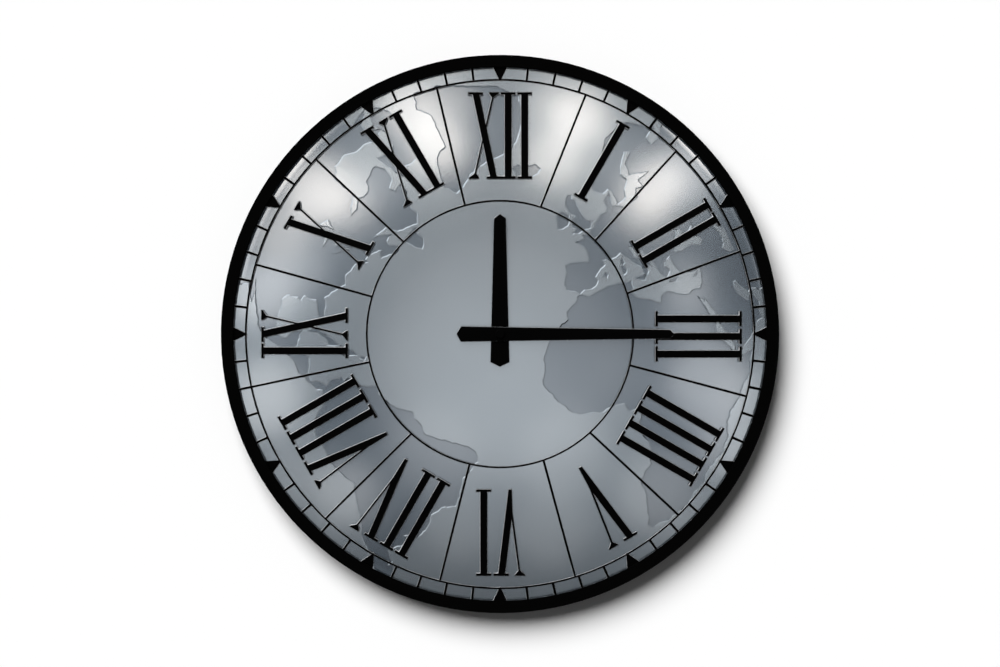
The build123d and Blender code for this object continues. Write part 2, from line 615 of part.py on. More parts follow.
def letter_x(thick_top, thick_foot, thin_top, thin_foot, low, high):
    """Thick stroke crossed by a hairline."""
    lean = (thin_top - thin_foot) / (high - low)
    return [
        stroke(thick_foot, thick_top, low, high, STEM),
        stroke(thin_foot, thin_top, low, high, HAIRLINE),
        serif(thick_top, high, SERIF, -1),
        serif(thick_foot, low, SERIF, 1),
        bracket(thin_top, high, -1, lean),
        bracket(thin_foot, low, 1, lean),
    ]


LETTERS = {"I": letter_i, "V": letter_v, "X": letter_x}

# Twelve numerals, each bent to the dome, with its foot towards the arbor
for hour, (drop, strokes) in NUMERALS.items():
    turn = radians(30 * hour)
    hour_plane = Plane(origin=(0, 0, 0), x_dir=(cos(turn), 0, -sin(turn)), z_dir=(0, -1, 0))
    top_v = TRACK_R - drop
    with BuildPart() as numeral:
        with BuildSketch(hour_plane) as letters:
            for kind, *places in strokes:
                for outline in LETTERS[kind](*places, top_v - NUMERAL_HEIGHT, top_v):
                    with BuildLine():
                        Polyline(*outline, close=True)
                    make_face()
        extrude(amount=PRISM_H)
        dome_shell(TRACK_R, FRET_LIFT, FRET_LIFT + NUMERAL_THICK, Mode.INTERSECT)
    save(numeral, f"numeral_{hour}")

# Depths of the movement and of the fixing on the arbor axis
DIAL_BACK_H = APEX_H - DIAL_THICK
COVER_H = DIAL_BACK_H - RUBBER_THICK
COVER_BACK_H = COVER_H - COVER_THICK
WASHER_TOP = APEX_H + WASHER_THICK
NUT_TOP = WASHER_TOP + NUT_THICK
BUSH_TOP = NUT_TOP + BUSH_PROUD
HOUR_HAND_H = BUSH_TOP + HAND_GAP
HOUR_PIPE_TOP = HOUR_HAND_H + HAND_THICK + HAND_GAP / 2
MINUTE_HAND_H = HOUR_PIPE_TOP + HAND_GAP
HAND_NUT_H = MINUTE_HAND_H + HAND_THICK
HAND_NUT_TOP = HAND_NUT_H + HAND_NUT_THICK
MINUTE_ARBOR_TOP = HAND_NUT_TOP - HAND_NUT_CAP


def layer(number):
    """Depth of a gear layer, counted back from the movement's front cover."""
    return COVER_BACK_H - number * LAYER


HOUR_LAYER = layer(1)
SETTING_LAYER = layer(2)
CENTRE_LAYER = layer(3)
BRIDGE_LAYER = layer(4)
THIRD_LAYER = layer(5)
SECONDS_LAYER = layer(6)
STEP_LAYER = layer(7)
FLOOR_H = layer(8)
MOVEMENT_BACK_H = FLOOR_H - MOVEMENT_WALL
BRIDGE_BACK_H = BRIDGE_LAYER - WHEEL_THICK / 2
BRIDGE_FRONT_H = BRIDGE_LAYER + WHEEL_THICK / 2

# Arbor places in the dial plane
THIRD_AT = at_clock(THIRD_HEADING, THIRD_SPACING)
SETTING_AT = at_clock(SETTING_HEADING, SETTING_SPACING)
STEP_AT = at_clock(STEP_HEADING, STEP_SPACING)
ROTOR_STEP = at_clock(ROTOR_HEADING, ROTOR_SPACING)
ROTOR_AT = (STEP_AT[0] + ROTOR_STEP[0], STEP_AT[1] + ROTOR_STEP[1])

# Fixing: rubber washer behind the dial, brass washer and nut in front
inner_bush = HOUR_PIPE_RADIUS + RUNNING_FIT
with BuildPart() as rubber_washer:
    post(COVER_H, dome_h(RUBBER_RADIUS, -DIAL_THICK), RUBBER_RADIUS)
    post(COVER_H, DIAL_BACK_H, BUSH_RADIUS + RUNNING_FIT, mode=Mode.SUBTRACT)
save(rubber_washer, "rubber_washer")

with BuildPart() as brass_washer:
    post(APEX_H, WASHER_TOP, WASHER_RADIUS)
    post(APEX_H, WASHER_TOP, BUSH_RADIUS + RUNNING_FIT, mode=Mode.SUBTRACT)
save(brass_washer, "brass_washer")

with BuildPart() as hex_nut:
    with BuildSketch(front(WASHER_TOP)):
        RegularPolygon(NUT_FLATS / 2, 6, major_radius=False, rotation=30)
        Circle(BUSH_RADIUS + SEAT_FIT, mode=Mode.SUBTRACT)
    extrude(amount=NUT_THICK)
save(hex_nut, "hex_nut")

with BuildPart() as mounting_bush:
    post(COVER_BACK_H - BUSH_FLANGE, COVER_BACK_H, BUSH_FLANGE_RADIUS)
    post(COVER_BACK_H, BUSH_TOP, BUSH_RADIUS)
    post(COVER_BACK_H - BUSH_FLANGE, BUSH_TOP, inner_bush, mode=Mode.SUBTRACT)
save(mounting_bush, "mounting_bush")

# Hands
def hand_outline(tip, tail, tip_half, tail_half):
    """Tapered bar with a shallow point at each end, drawn upwards."""
    return [
        (0, tip),
        (tip_half, tip - HAND_POINT),
        (tail_half, HAND_POINT - tail),
        (0, -tail),
        (-tail_half, HAND_POINT - tail),
        (-tip_half, tip - HAND_POINT),
    ]


with BuildPart() as hour_hand:
    with BuildSketch(front(HOUR_HAND_H)):
        with BuildLine():
            Polyline(*hand_outline(HOUR_TIP, HOUR_TAIL, HOUR_TIP_HALF, HOUR_TAIL_HALF), close=True)
        make_face()
        Circle(HOUR_PIPE_RADIUS + SEAT_FIT, mode=Mode.SUBTRACT)
    extrude(amount=HAND_THICK)
save(hour_hand, "hour_hand")

with BuildPart() as minute_hand:
    quarter_plane = Plane(origin=(0, -MINUTE_HAND_H, 0), x_dir=(0, 0, -1), z_dir=(0, -1, 0))
    with BuildSketch(quarter_plane):
        with BuildLine():
            Polyline(*hand_outline(MINUTE_TIP, MINUTE_TAIL, MINUTE_TIP_HALF, MINUTE_TAIL_HALF), close=True)
        make_face()
        Circle(MINUTE_ARBOR_RADIUS + SEAT_FIT, mode=Mode.SUBTRACT)
    extrude(amount=HAND_THICK)
save(minute_hand, "minute_hand")

with BuildPart() as hand_nut:
    post(HAND_NUT_H, HAND_NUT_TOP, HAND_NUT_RADIUS)
    post(HAND_NUT_H, MINUTE_ARBOR_TOP, MINUTE_ARBOR_RADIUS + SEAT_FIT, mode=Mode.SUBTRACT)
    chamfer(hand_nut.edges().group_by(Axis.Y)[0].sort_by(SortBy.RADIUS)[-1], HAND_NUT_BEVEL)
save(hand_nut, "hand_nut")


# Gear teeth: radial flanks below the pitch circle and rounded tips above it
TOOTH_SHARE = 0.42
LEAF_SHARE = 0.34
WHEEL_ADDENDUM = 1.15
LEAF_ADDENDUM = 0.75
WHEEL_DEDENDUM = 1.25
LEAF_DEDENDUM = 1.6
SHOULDER_WIDTH = 0.72
SHOULDER_RISE = 0.55
TIP_WIDTH = 0.2


def tooth_points(teeth, module, leaf):
    """Half-angle and radius of one flank, from the root to the tip."""
    share = LEAF_SHARE if leaf else TOOTH_SHARE
    addendum = (LEAF_ADDENDUM if leaf else WHEEL_ADDENDUM) * module
    dedendum = (LEAF_DEDENDUM if leaf else WHEEL_DEDENDUM) * module
    pitch_r = module * teeth / 2
    half = 360 / teeth * share / 2
    return [
        (half, pitch_r - dedendum),
        (half, pitch_r),
        (half * SHOULDER_WIDTH, pitch_r + addendum * SHOULDER_RISE),
        (half * TIP_WIDTH, pitch_r + addendum),
    ]


def gear(h0, h1, at, teeth, module, turn, leaf=False):
    """Toothed disc from depth h0 to h1 with one tooth at the clock angle turn."""
    flank = tooth_points(teeth, module, leaf)
    outline = []
    for tooth in range(teeth):
        middle = turn + 360 / teeth * tooth
        outline += [at_clock(middle - half, radius) for half, radius in flank]
        outline += [at_clock(middle + half, radius) for half, radius in reversed(flank)]
    with BuildSketch(front(h0)) as section:
        with BuildLine():
            Polyline(*[(at[0] + x, at[1] + z) for x, z in outline], close=True)
        make_face()
    extrude(section.sketch, amount=h1 - h0)


def wheel(middle, at, teeth, module, turn):
    """Thin wheel centred on a layer."""
    gear(middle - WHEEL_THICK / 2, middle + WHEEL_THICK / 2, at, teeth, module, turn)


def pinion(middle, at, teeth, module, turn):
    """Pinion centred on a layer, a little longer than the wheel it meets."""
    gear(middle - PINION_THICK / 2, middle + PINION_THICK / 2, at, teeth, module, turn, leaf=True)


def meshing_turn(turn, teeth, other_teeth, heading):
    """Clock angle of a tooth of the gear that lies at a heading and meshes."""
    return heading + 180 - (turn - heading) * teeth / other_teeth + 180 / other_teeth


def module_for(spacing, teeth, other_teeth):
    """Module that gives two gears a centre distance."""
    return 2 * spacing / (teeth + other_teeth)


rotor_module = module_for(ROTOR_SPACING, LEAVES, STEP_WHEEL_TEETH)
step_module = module_for(STEP_SPACING, LEAVES, SECONDS_WHEEL_TEETH)
third_module = module_for(THIRD_SPACING, LEAVES, THIRD_WHEEL_TEETH)
centre_module = module_for(THIRD_SPACING, LEAVES, CENTRE_WHEEL_TEETH)
setting_module = module_for(SETTING_SPACING, MINUTE_PINION_LEAVES, SETTING_WHEEL_TEETH)
hour_module = module_for(SETTING_SPACING, LEAVES, HOUR_WHEEL_TEETH)

# Rotor: a magnet disc on the first pinion
magnet_back = STEP_LAYER + PINION_THICK / 2 + STATOR_GAP
magnet_front = BRIDGE_BACK_H - STATOR_GAP
with BuildPart() as rotor_pinion:
    rotor_turn = meshing_turn(0, STEP_WHEEL_TEETH, LEAVES, ROTOR_HEADING)
    pinion(STEP_LAYER, ROTOR_AT, LEAVES, rotor_module, rotor_turn)
    post(MOVEMENT_BACK_H, BRIDGE_FRONT_H, PIVOT_RADIUS, at=ROTOR_AT)
save(rotor_pinion, "rotor_pinion")

with BuildPart() as rotor_magnet:
    post(magnet_back, magnet_front, MAGNET_RADIUS, at=ROTOR_AT)
    post(magnet_back, magnet_front, PIVOT_RADIUS + SEAT_FIT, at=ROTOR_AT, mode=Mode.SUBTRACT)
save(rotor_magnet, "rotor_magnet")

with BuildPart() as step_wheel:
    wheel(STEP_LAYER, STEP_AT, STEP_WHEEL_TEETH, rotor_module, 0)
    step_turn = meshing_turn(0, SECONDS_WHEEL_TEETH, LEAVES, STEP_HEADING)
    pinion(SECONDS_LAYER, STEP_AT, LEAVES, step_module, step_turn)
    post(MOVEMENT_BACK_H, BRIDGE_FRONT_H, PIVOT_RADIUS, at=STEP_AT)
save(step_wheel, "step_wheel")

with BuildPart() as seconds_wheel:
    wheel(SECONDS_LAYER, (0, 0), SECONDS_WHEEL_TEETH, step_module, 0)
    pinion(THIRD_LAYER, (0, 0), LEAVES, third_module, 0)
    post(MOVEMENT_BACK_H, SETTING_LAYER, PIVOT_RADIUS)
save(seconds_wheel, "seconds_wheel")

with BuildPart() as third_wheel:
    third_turn = meshing_turn(0, LEAVES, THIRD_WHEEL_TEETH, THIRD_HEADING)
    wheel(THIRD_LAYER, THIRD_AT, THIRD_WHEEL_TEETH, third_module, third_turn)
    pinion(CENTRE_LAYER, THIRD_AT, LEAVES, centre_module, 0)
    post(MOVEMENT_BACK_H, CENTRE_LAYER, PIVOT_RADIUS, at=THIRD_AT)
save(third_wheel, "third_wheel")

with BuildPart() as centre_wheel:
    centre_turn = meshing_turn(0, LEAVES, CENTRE_WHEEL_TEETH, THIRD_HEADING + 180)
    wheel(CENTRE_LAYER, (0, 0), CENTRE_WHEEL_TEETH, centre_module, centre_turn)
    post(
        CENTRE_LAYER - WHEEL_THICK,
        CENTRE_LAYER + WHEEL_THICK,
        MINUTE_ARBOR_RADIUS + RUNNING_FIT,
        mode=Mode.SUBTRACT,
    )
save(centre_wheel, "centre_wheel")

# Minute arbor: it runs through the slipping centre wheel and the hour pipe
clutch_back = CENTRE_LAYER + WHEEL_THICK / 2 + RUNNING_FIT
clutch_front = SETTING_LAYER - PINION_THICK / 2
with BuildPart() as minute_arbor:
    pinion(SETTING_LAYER, (0, 0), MINUTE_PINION_LEAVES, setting_module, 0)
    post(BRIDGE_BACK_H, MINUTE_ARBOR_TOP, MINUTE_ARBOR_RADIUS)
    post(BRIDGE_BACK_H, HOUR_LAYER, PIVOT_RADIUS + RUNNING_FIT, mode=Mode.SUBTRACT)
save(minute_arbor, "minute_arbor")

with BuildPart() as clutch_spring:
    post(clutch_back, clutch_front, CLUTCH_RADIUS)
    post(clutch_back, clutch_front, MINUTE_ARBOR_RADIUS + SEAT_FIT, mode=Mode.SUBTRACT)
save(clutch_spring, "clutch_spring")

# Setting arbor: it carries both wheels of the motion work and the knob behind
knob_front = MOVEMENT_BACK_H - KNOB_GAP
knob_back = knob_front - KNOB_THICK
with BuildPart() as setting_arbor:
    setting_turn = meshing_turn(0, MINUTE_PINION_LEAVES, SETTING_WHEEL_TEETH, SETTING_HEADING)
    wheel(SETTING_LAYER, SETTING_AT, SETTING_WHEEL_TEETH, setting_module, setting_turn)
    pinion(HOUR_LAYER, SETTING_AT, LEAVES, hour_module, 0)
    post(knob_back, COVER_H, SETTING_ARBOR_RADIUS, at=SETTING_AT)
save(setting_arbor, "setting_arbor")

with BuildPart() as setting_knob:
    post(knob_back, knob_front, KNOB_RADIUS, at=SETTING_AT)
    post(knob_back, knob_front, SETTING_ARBOR_RADIUS + SEAT_FIT, at=SETTING_AT, mode=Mode.SUBTRACT)
    for groove in range(KNOB_GROOVES):
        edge = at_clock(360 / KNOB_GROOVES * groove, KNOB_RADIUS)
        place = (SETTING_AT[0] + edge[0], SETTING_AT[1] + edge[1])
        post(knob_back, knob_front, KNOB_GROOVE_RADIUS, at=place, mode=Mode.SUBTRACT)
save(setting_knob, "setting_knob")

with BuildPart() as hour_wheel:
    hour_turn = meshing_turn(0, LEAVES, HOUR_WHEEL_TEETH, SETTING_HEADING + 180)
    wheel(HOUR_LAYER, (0, 0), HOUR_WHEEL_TEETH, hour_module, hour_turn)
    post(HOUR_LAYER, HOUR_PIPE_TOP, HOUR_PIPE_RADIUS)
    post(
        HOUR_LAYER - WHEEL_THICK, HOUR_PIPE_TOP, MINUTE_ARBOR_RADIUS + RUNNING_FIT, mode=Mode.SUBTRACT
    )
save(hour_wheel, "hour_wheel")

# Movement case: gear chamber open to the front, battery bay open to the back
half_case = MOVEMENT_SIZE / 2
half_room = half_case - MOVEMENT_WALL
bay_top = -half_room + 2 * (BATTERY_RADIUS + BATTERY_GAP)
room_bottom = bay_top + MOVEMENT_WALL
bay_roof = COVER_BACK_H - MOVEMENT_WALL
battery_at = (0, -half_room + BATTERY_RADIUS + BATTERY_GAP)
battery_h = bay_roof - BATTERY_GAP - BATTERY_RADIUS
board_low = (-half_room + BATTERY_GAP, half_room - BATTERY_GAP - BOARD_WIDTH)
board_high = (board_low[0] + BOARD_LENGTH, half_room - BATTERY_GAP)
board_posts = [
    (board_low[0] + BOARD_WIDTH / 2, (board_low[1] + board_high[1]) / 2),
    (board_high[0] - BOARD_WIDTH / 2, (board_low[1] + board_high[1]) / 2),
]
case_low = (-half_case, -half_case)
case_high = (half_case, half_case)
with BuildPart() as movement_case:
    block(MOVEMENT_BACK_H, COVER_BACK_H, case_low, case_high, corner=MOVEMENT_WALL)
    block(FLOOR_H, COVER_BACK_H, (-half_room, room_bottom), (half_room, half_room), mode=Mode.SUBTRACT)
    block(MOVEMENT_BACK_H, bay_roof, (-half_room, -half_room), (half_room, bay_top), mode=Mode.SUBTRACT)
    for place in BRIDGE_POSTS:
        post(FLOOR_H, BRIDGE_BACK_H, POST_RADIUS, at=place)
        post(FLOOR_H, BRIDGE_BACK_H, BRIDGE_SCREW_RADIUS + SEAT_FIT, at=place, mode=Mode.SUBTRACT)
    for place in board_posts:
        post(FLOOR_H, STEP_LAYER, POST_RADIUS, at=place)
    for place in ((0, 0), THIRD_AT, STEP_AT, ROTOR_AT):
        post(MOVEMENT_BACK_H, FLOOR_H, PIVOT_RADIUS + RUNNING_FIT, at=place, mode=Mode.SUBTRACT)
    post(MOVEMENT_BACK_H, FLOOR_H, SETTING_ARBOR_RADIUS + RUNNING_FIT, at=SETTING_AT, mode=Mode.SUBTRACT)
save(movement_case, "movement_case")

with BuildPart() as movement_cover:
    block(COVER_BACK_H, COVER_H, case_low, case_high, corner=MOVEMENT_WALL)
    post(COVER_BACK_H, COVER_H, BUSH_RADIUS + SEAT_FIT, mode=Mode.SUBTRACT)
    post(COVER_BACK_H, COVER_H, SETTING_ARBOR_RADIUS + RUNNING_FIT, at=SETTING_AT, mode=Mode.SUBTRACT)
save(movement_cover, "movement_cover")

# Bridge: it holds the front pivots of the fast wheels
post_xs = [place[0] for place in BRIDGE_POSTS]
post_zs = [place[1] for place in BRIDGE_POSTS]
bridge_low = (min(post_xs) - BRIDGE_MARGIN, min(post_zs))
bridge_high = (max(post_xs), max(post_zs) + BRIDGE_MARGIN)
with BuildPart() as train_bridge:
    block(BRIDGE_BACK_H, BRIDGE_FRONT_H, bridge_low, bridge_high)
    for place in BRIDGE_POSTS:
        post(BRIDGE_BACK_H, BRIDGE_FRONT_H, BRIDGE_SCREW_RADIUS + SEAT_FIT, at=place, mode=Mode.SUBTRACT)
    for place in (THIRD_AT, STEP_AT, ROTOR_AT):
        post(BRIDGE_BACK_H, BRIDGE_FRONT_H, PIVOT_RADIUS + RUNNING_FIT, at=place, mode=Mode.SUBTRACT)
    post(BRIDGE_BACK_H, BRIDGE_FRONT_H, MINUTE_ARBOR_RADIUS + RUNNING_FIT, mode=Mode.SUBTRACT)
    post(
        BRIDGE_BACK_H, BRIDGE_FRONT_H, SETTING_ARBOR_RADIUS + STATOR_GAP, at=SETTING_AT, mode=Mode.SUBTRACT
    )
save(train_bridge, "train_bridge")

with BuildPart() as bridge_screws:
    for place in BRIDGE_POSTS:
        post(FLOOR_H, BRIDGE_FRONT_H, BRIDGE_SCREW_RADIUS, at=place)
        post(BRIDGE_FRONT_H, BRIDGE_FRONT_H + WHEEL_THICK, BRIDGE_SCREW_HEAD, at=place)
save(bridge_screws, "bridge_screws")

# Battery cell and its two contacts
positive_end = BATTERY_LENGTH / 2
with BuildPart() as battery:
    with BuildSketch(Plane.YZ.offset(-positive_end)):
        with Locations((-battery_h, battery_at[1])):
            Circle(BATTERY_RADIUS)
    extrude(amount=BATTERY_LENGTH)
    with BuildSketch(Plane.YZ.offset(positive_end)):
        with Locations((-battery_h, battery_at[1])):
            Circle(BATTERY_NUB_RADIUS)
    extrude(amount=BATTERY_NUB)
save(battery, "battery")

contact_half = BATTERY_RADIUS - CONTACT_THICK


def contact(end, inner):
    """Spring strip on the bay's end wall with a button that meets the battery."""
    side = 1 if end > 0 else -1
    strip = end - side * CONTACT_THICK
    with BuildSketch(Plane.YZ.offset(strip)) as plate:
        with Locations((-battery_h, battery_at[1])):
            Rectangle(contact_half, contact_half * 2)
    extrude(plate.sketch, amount=side * CONTACT_THICK)
    with BuildSketch(Plane.YZ.offset(inner)) as button:
        with Locations((-battery_h, battery_at[1])):
            Circle(BATTERY_NUB_RADIUS)
    extrude(button.sketch, amount=strip - inner)


with BuildPart() as contact_positive:
    contact(half_room, positive_end + BATTERY_NUB)
save(contact_positive, "contact_positive")

with BuildPart() as contact_negative:
    contact(-half_room, -positive_end)
save(contact_negative, "contact_negative")

# Coil on its iron core, with the stator plate round the rotor
coil_x = half_room - COIL_FLANGE_RADIUS - STATOR_GAP
coil_low = ROTOR_AT[1] + STATOR_RING
coil_high = coil_low + COIL_LENGTH
stator_h = (SECONDS_LAYER + THIRD_LAYER) / 2
core_h = stator_h + (STATOR_THICK + CORE_THICK) / 2 + FILM
stator_hole = MAGNET_RADIUS + STATOR_GAP
with BuildPart() as stator:
    arm_low = (coil_x, coil_low - CORE_OVERRUN / 2)
    arm_high = (coil_x, coil_high + CORE_OVERRUN / 2)
    with BuildSketch(front(stator_h - STATOR_THICK / 2)):
        with Locations(ROTOR_AT):
            Circle(stator_hole + STATOR_RING)
        turn_point = (ROTOR_AT[0] + STATOR_ARM / 2, arm_high[1])
        for start, end in (
            (ROTOR_AT, (arm_low[0] + STATOR_ARM / 2, arm_low[1])),
            ((turn_point[0], ROTOR_AT[1]), (turn_point[0], turn_point[1] + STATOR_ARM / 2)),
            (turn_point, (arm_high[0] + STATOR_ARM / 2, arm_high[1])),
        ):
            with BuildLine():
                Polyline(*bar(start, end, STATOR_ARM), close=True)
            make_face()
        with Locations(ROTOR_AT):
            Circle(stator_hole, mode=Mode.SUBTRACT)
    extrude(amount=STATOR_THICK)
save(stator, "stator")

with BuildPart() as coil_core:
    block(
        core_h - CORE_THICK / 2,
        core_h + CORE_THICK / 2,
        (coil_x - CORE_WIDTH / 2, coil_low - CORE_OVERRUN),
        (coil_x + CORE_WIDTH / 2, coil_high + CORE_OVERRUN),
    )
save(coil_core, "coil_core")


def spool(start, end, radius, mode=Mode.ADD):
    """Disc or tube round the coil's axis between two heights."""
    with BuildSketch(Plane.XY.offset(start)) as section:
        with Locations((coil_x, -core_h)):
            Circle(radius)
    extrude(section.sketch, amount=end - start, mode=mode)


with BuildPart() as coil_bobbin:
    spool(coil_low, coil_high, COIL_TUBE_RADIUS)
    spool(coil_low, coil_low + COIL_FLANGE, COIL_FLANGE_RADIUS)
    spool(coil_high - COIL_FLANGE, coil_high, COIL_FLANGE_RADIUS)
    block(
        core_h - CORE_THICK / 2 - SEAT_FIT,
        core_h + CORE_THICK / 2 + SEAT_FIT,
        (coil_x - CORE_WIDTH / 2 - SEAT_FIT, coil_low),
        (coil_x + CORE_WIDTH / 2 + SEAT_FIT, coil_high),
        mode=Mode.SUBTRACT,
    )
save(coil_bobbin, "coil_bobbin")

with BuildPart() as coil_winding:
    spool(coil_low + COIL_FLANGE + SEAT_FIT, coil_high - COIL_FLANGE - SEAT_FIT, COIL_RADIUS)
    spool(coil_low, coil_high, COIL_TUBE_RADIUS + SEAT_FIT, mode=Mode.SUBTRACT)
save(coil_winding, "coil_winding")

# Circuit board with the chip and the quartz crystal
board_front = STEP_LAYER + BOARD_THICK
with BuildPart() as circuit_board:
    block(STEP_LAYER, board_front, board_low, board_high)
save(circuit_board, "circuit_board")

with BuildPart() as chip_blob:
    post(board_front, board_front + CHIP_THICK, CHIP_RADIUS, at=board_posts[0])
    fillet(chip_blob.edges().group_by(Axis.Y)[0], CHIP_ROUND)
save(chip_blob, "chip_blob")

with BuildPart() as quartz_crystal:
    with BuildSketch(Plane.YZ.offset(board_posts[1][0] - CRYSTAL_LENGTH)):
        with Locations((-board_front - CRYSTAL_RADIUS, board_posts[1][1])):
            Circle(CRYSTAL_RADIUS)
    extrude(amount=CRYSTAL_LENGTH)
save(quartz_crystal, "quartz_crystal")
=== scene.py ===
# %% [markdown]
# # A wall clock with a world map dial
# The clock is a black ring round a domed grey metal dial. A second, lighter sheet lies on the dome with the
# land cut out of it, and black numerals, a minute track and two bar hands stand on that. The solids come from
# the CAD frame at their real size. This lesson gives them their fine edges, their finishes and the light.

# %% Load the frame
import json
from math import atan2, cos, degrees, pi, radians, sin, sqrt
from random import Random

import bmesh
import bpy
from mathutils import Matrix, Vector
from mathutils.kdtree import KDTree

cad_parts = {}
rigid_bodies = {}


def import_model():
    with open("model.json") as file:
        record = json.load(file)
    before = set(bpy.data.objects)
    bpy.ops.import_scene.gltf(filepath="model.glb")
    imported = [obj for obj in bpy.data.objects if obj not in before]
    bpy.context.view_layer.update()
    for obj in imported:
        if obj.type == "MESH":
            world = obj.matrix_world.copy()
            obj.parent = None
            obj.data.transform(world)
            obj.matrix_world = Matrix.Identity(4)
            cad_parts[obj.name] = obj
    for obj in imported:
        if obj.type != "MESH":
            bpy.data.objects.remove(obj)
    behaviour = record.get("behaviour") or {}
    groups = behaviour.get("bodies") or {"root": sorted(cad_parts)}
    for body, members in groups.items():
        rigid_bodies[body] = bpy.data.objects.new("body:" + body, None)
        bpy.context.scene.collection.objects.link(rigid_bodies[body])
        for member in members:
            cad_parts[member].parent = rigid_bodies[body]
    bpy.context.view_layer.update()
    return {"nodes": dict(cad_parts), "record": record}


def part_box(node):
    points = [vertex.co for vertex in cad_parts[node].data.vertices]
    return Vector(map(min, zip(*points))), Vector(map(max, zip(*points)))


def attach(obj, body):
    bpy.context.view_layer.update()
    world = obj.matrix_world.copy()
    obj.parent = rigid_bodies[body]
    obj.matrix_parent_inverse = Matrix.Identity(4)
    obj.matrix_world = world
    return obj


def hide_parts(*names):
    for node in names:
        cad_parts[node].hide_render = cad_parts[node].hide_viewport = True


bpy.ops.object.select_all(action="SELECT")
bpy.ops.object.delete()
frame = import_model()
nodes = frame["nodes"]
MM = 0.001

# %% [markdown]
# ## The shape of the dome
# The dial is a shallow cap of a large ball. Everything that lies on it follows the same ball, a little
# further out for each layer, so the ball's radius and centre are worked out once: a cap of base radius b and
# rise s belongs to a ball of radius (b² + s²) / 2s.

# %% Dome
DOME_BASE = 147.5 * MM
DOME_RISE = 14 * MM
MARGIN_FRONT = 12.8 * MM
BALL = (DOME_BASE ** 2 + DOME_RISE ** 2) / (2 * DOME_RISE)
BALL_CENTRE = Vector((0, BALL - DOME_RISE - MARGIN_FRONT, 0))


def dome_front(radius, lift=0.0):
    """Y of a layer that lies lift above the dome, at a distance from the arbor axis."""
    return BALL_CENTRE.y - sqrt((BALL + lift) ** 2 - radius ** 2)


print("ball radius", round(BALL, 4), "dome front at the arbor", round(dome_front(0), 4))

# %% [markdown]
# ## A few hand tools
# Modelling by hand is the same few moves over and over: make one object active, choose some of its vertices,
# edges or faces, run a tool, and apply a modifier. These helpers give those moves short names. A choice is
# made by a test on each element's place or normal, where a hand would use the mouse.

# %% Hand tools
def only(piece):
    """Makes a piece the one selected and active object."""
    bpy.ops.object.select_all(action="DESELECT")
    piece.select_set(True)
    bpy.context.view_layer.objects.active = piece


def edit(piece):
    """Opens a piece in edit mode with all of it selected."""
    only(piece)
    bpy.ops.object.mode_set(mode="EDIT")
    bpy.ops.mesh.select_mode(type="VERT")
    bpy.ops.mesh.select_all(action="SELECT")


def close():
    """Leaves edit mode."""
    bpy.ops.object.mode_set(mode="OBJECT")


def pick(piece, kind, test):
    """Selects the vertices, edges or faces of the open piece that pass the test."""
    bpy.ops.mesh.select_mode(type=kind)
    bpy.ops.mesh.select_all(action="DESELECT")
    mesh = bmesh.from_edit_mesh(piece.data)
    mesh.normal_update()
    elements = {"VERT": mesh.verts, "EDGE": mesh.edges, "FACE": mesh.faces}[kind]
    for element in [element for element in elements if test(element)]:
        element.select_set(True)
    bmesh.update_edit_mesh(piece.data)


def apply_modifier(piece, kind, **settings):
    """Adds a modifier to a piece, sets it up and applies it."""
    only(piece)
    modifier = piece.modifiers.new(kind.title(), kind)
    for name, value in settings.items():
        setattr(modifier, name, value)
    bpy.ops.object.modifier_apply(modifier=modifier.name)


def smooth(piece, angle):
    """Shades a piece smooth, with crisp edges where its faces turn by more than the angle."""
    only(piece)
    bpy.ops.object.shade_smooth_by_angle(angle=radians(angle))


print("hand tools: only, edit, close, pick, apply_modifier, smooth")

# %% [markdown]
# ## How a piece starts and ends
# A piece starts as a primitive, whose place then goes into its mesh, or as a copy of a CAD node, whose loose
# triangles are merged. It ends by riding on its body and standing for the nodes that it replaces.

# %% Start and end of a piece
MERGE_DISTANCE = 0.001 * MM


def placed(name):
    """Names the primitive that was just added and moves its place and turn into its mesh."""
    piece = bpy.context.object
    piece.name = name
    only(piece)
    bpy.ops.object.transform_apply()
    return piece


def copy_of(node, name):
    """New piece with a merged copy of a CAD node's mesh, which comes as loose triangles."""
    piece = bpy.data.objects.new(name, nodes[node].data.copy())
    bpy.context.scene.collection.objects.link(piece)
    only(piece)
    bpy.ops.mesh.customdata_custom_splitnormals_clear()
    edit(piece)
    bpy.ops.mesh.remove_doubles(threshold=MERGE_DISTANCE)
    close()
    return piece


def stand_in(piece, body, slot, *replaced):
    """Puts a finished piece on its body, in place of CAD nodes. Its slot argument is not used."""
    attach(piece, body)
    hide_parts(*replaced)
    print(piece.name, "has", len(piece.data.polygons), "faces and stands for", ", ".join(replaced))


print("points closer than", MERGE_DISTANCE, "m are merged")

# %% [markdown]
# ## Finishes: how a material is put together
# Every finish is a small graph of nodes on the surface shader. Colours are written as sRGB hex values, as a
# colour picker shows them, and turned to the linear values that the renderer works in. Patterns read the
# Object coordinates, which are metres here, so a grain of 0.8 mm is a noise texture with a scale of
# 1 / 0.0008.

# %% Material tools
finishes = {}


def linear(code):
    """Linear colour of an sRGB hex value."""
    channels = [int(code[i:i + 2], 16) / 255 for i in (0, 2, 4)]
    return [c / 12.92 if c <= 0.04045 else ((c + 0.055) / 1.055) ** 2.4 for c in channels] + [1.0]


def add_node(tree, kind, sockets, **settings):
    """Adds a node with its settings. Sockets maps an input to a value or to the output that feeds it."""
    node = tree.nodes.new(kind)
    for name, value in settings.items():
        setattr(node, name, value)
    for name, value in sockets.items():
        if isinstance(value, bpy.types.NodeSocket):
            tree.links.new(value, node.inputs[name])
        else:
            node.inputs[name].default_value = value
    return node


def empty_material(name):
    """New material with no nodes, and its node tree."""
    material = bpy.data.materials.new(name)
    material.use_nodes = True
    material.node_tree.nodes.clear()
    return material, material.node_tree


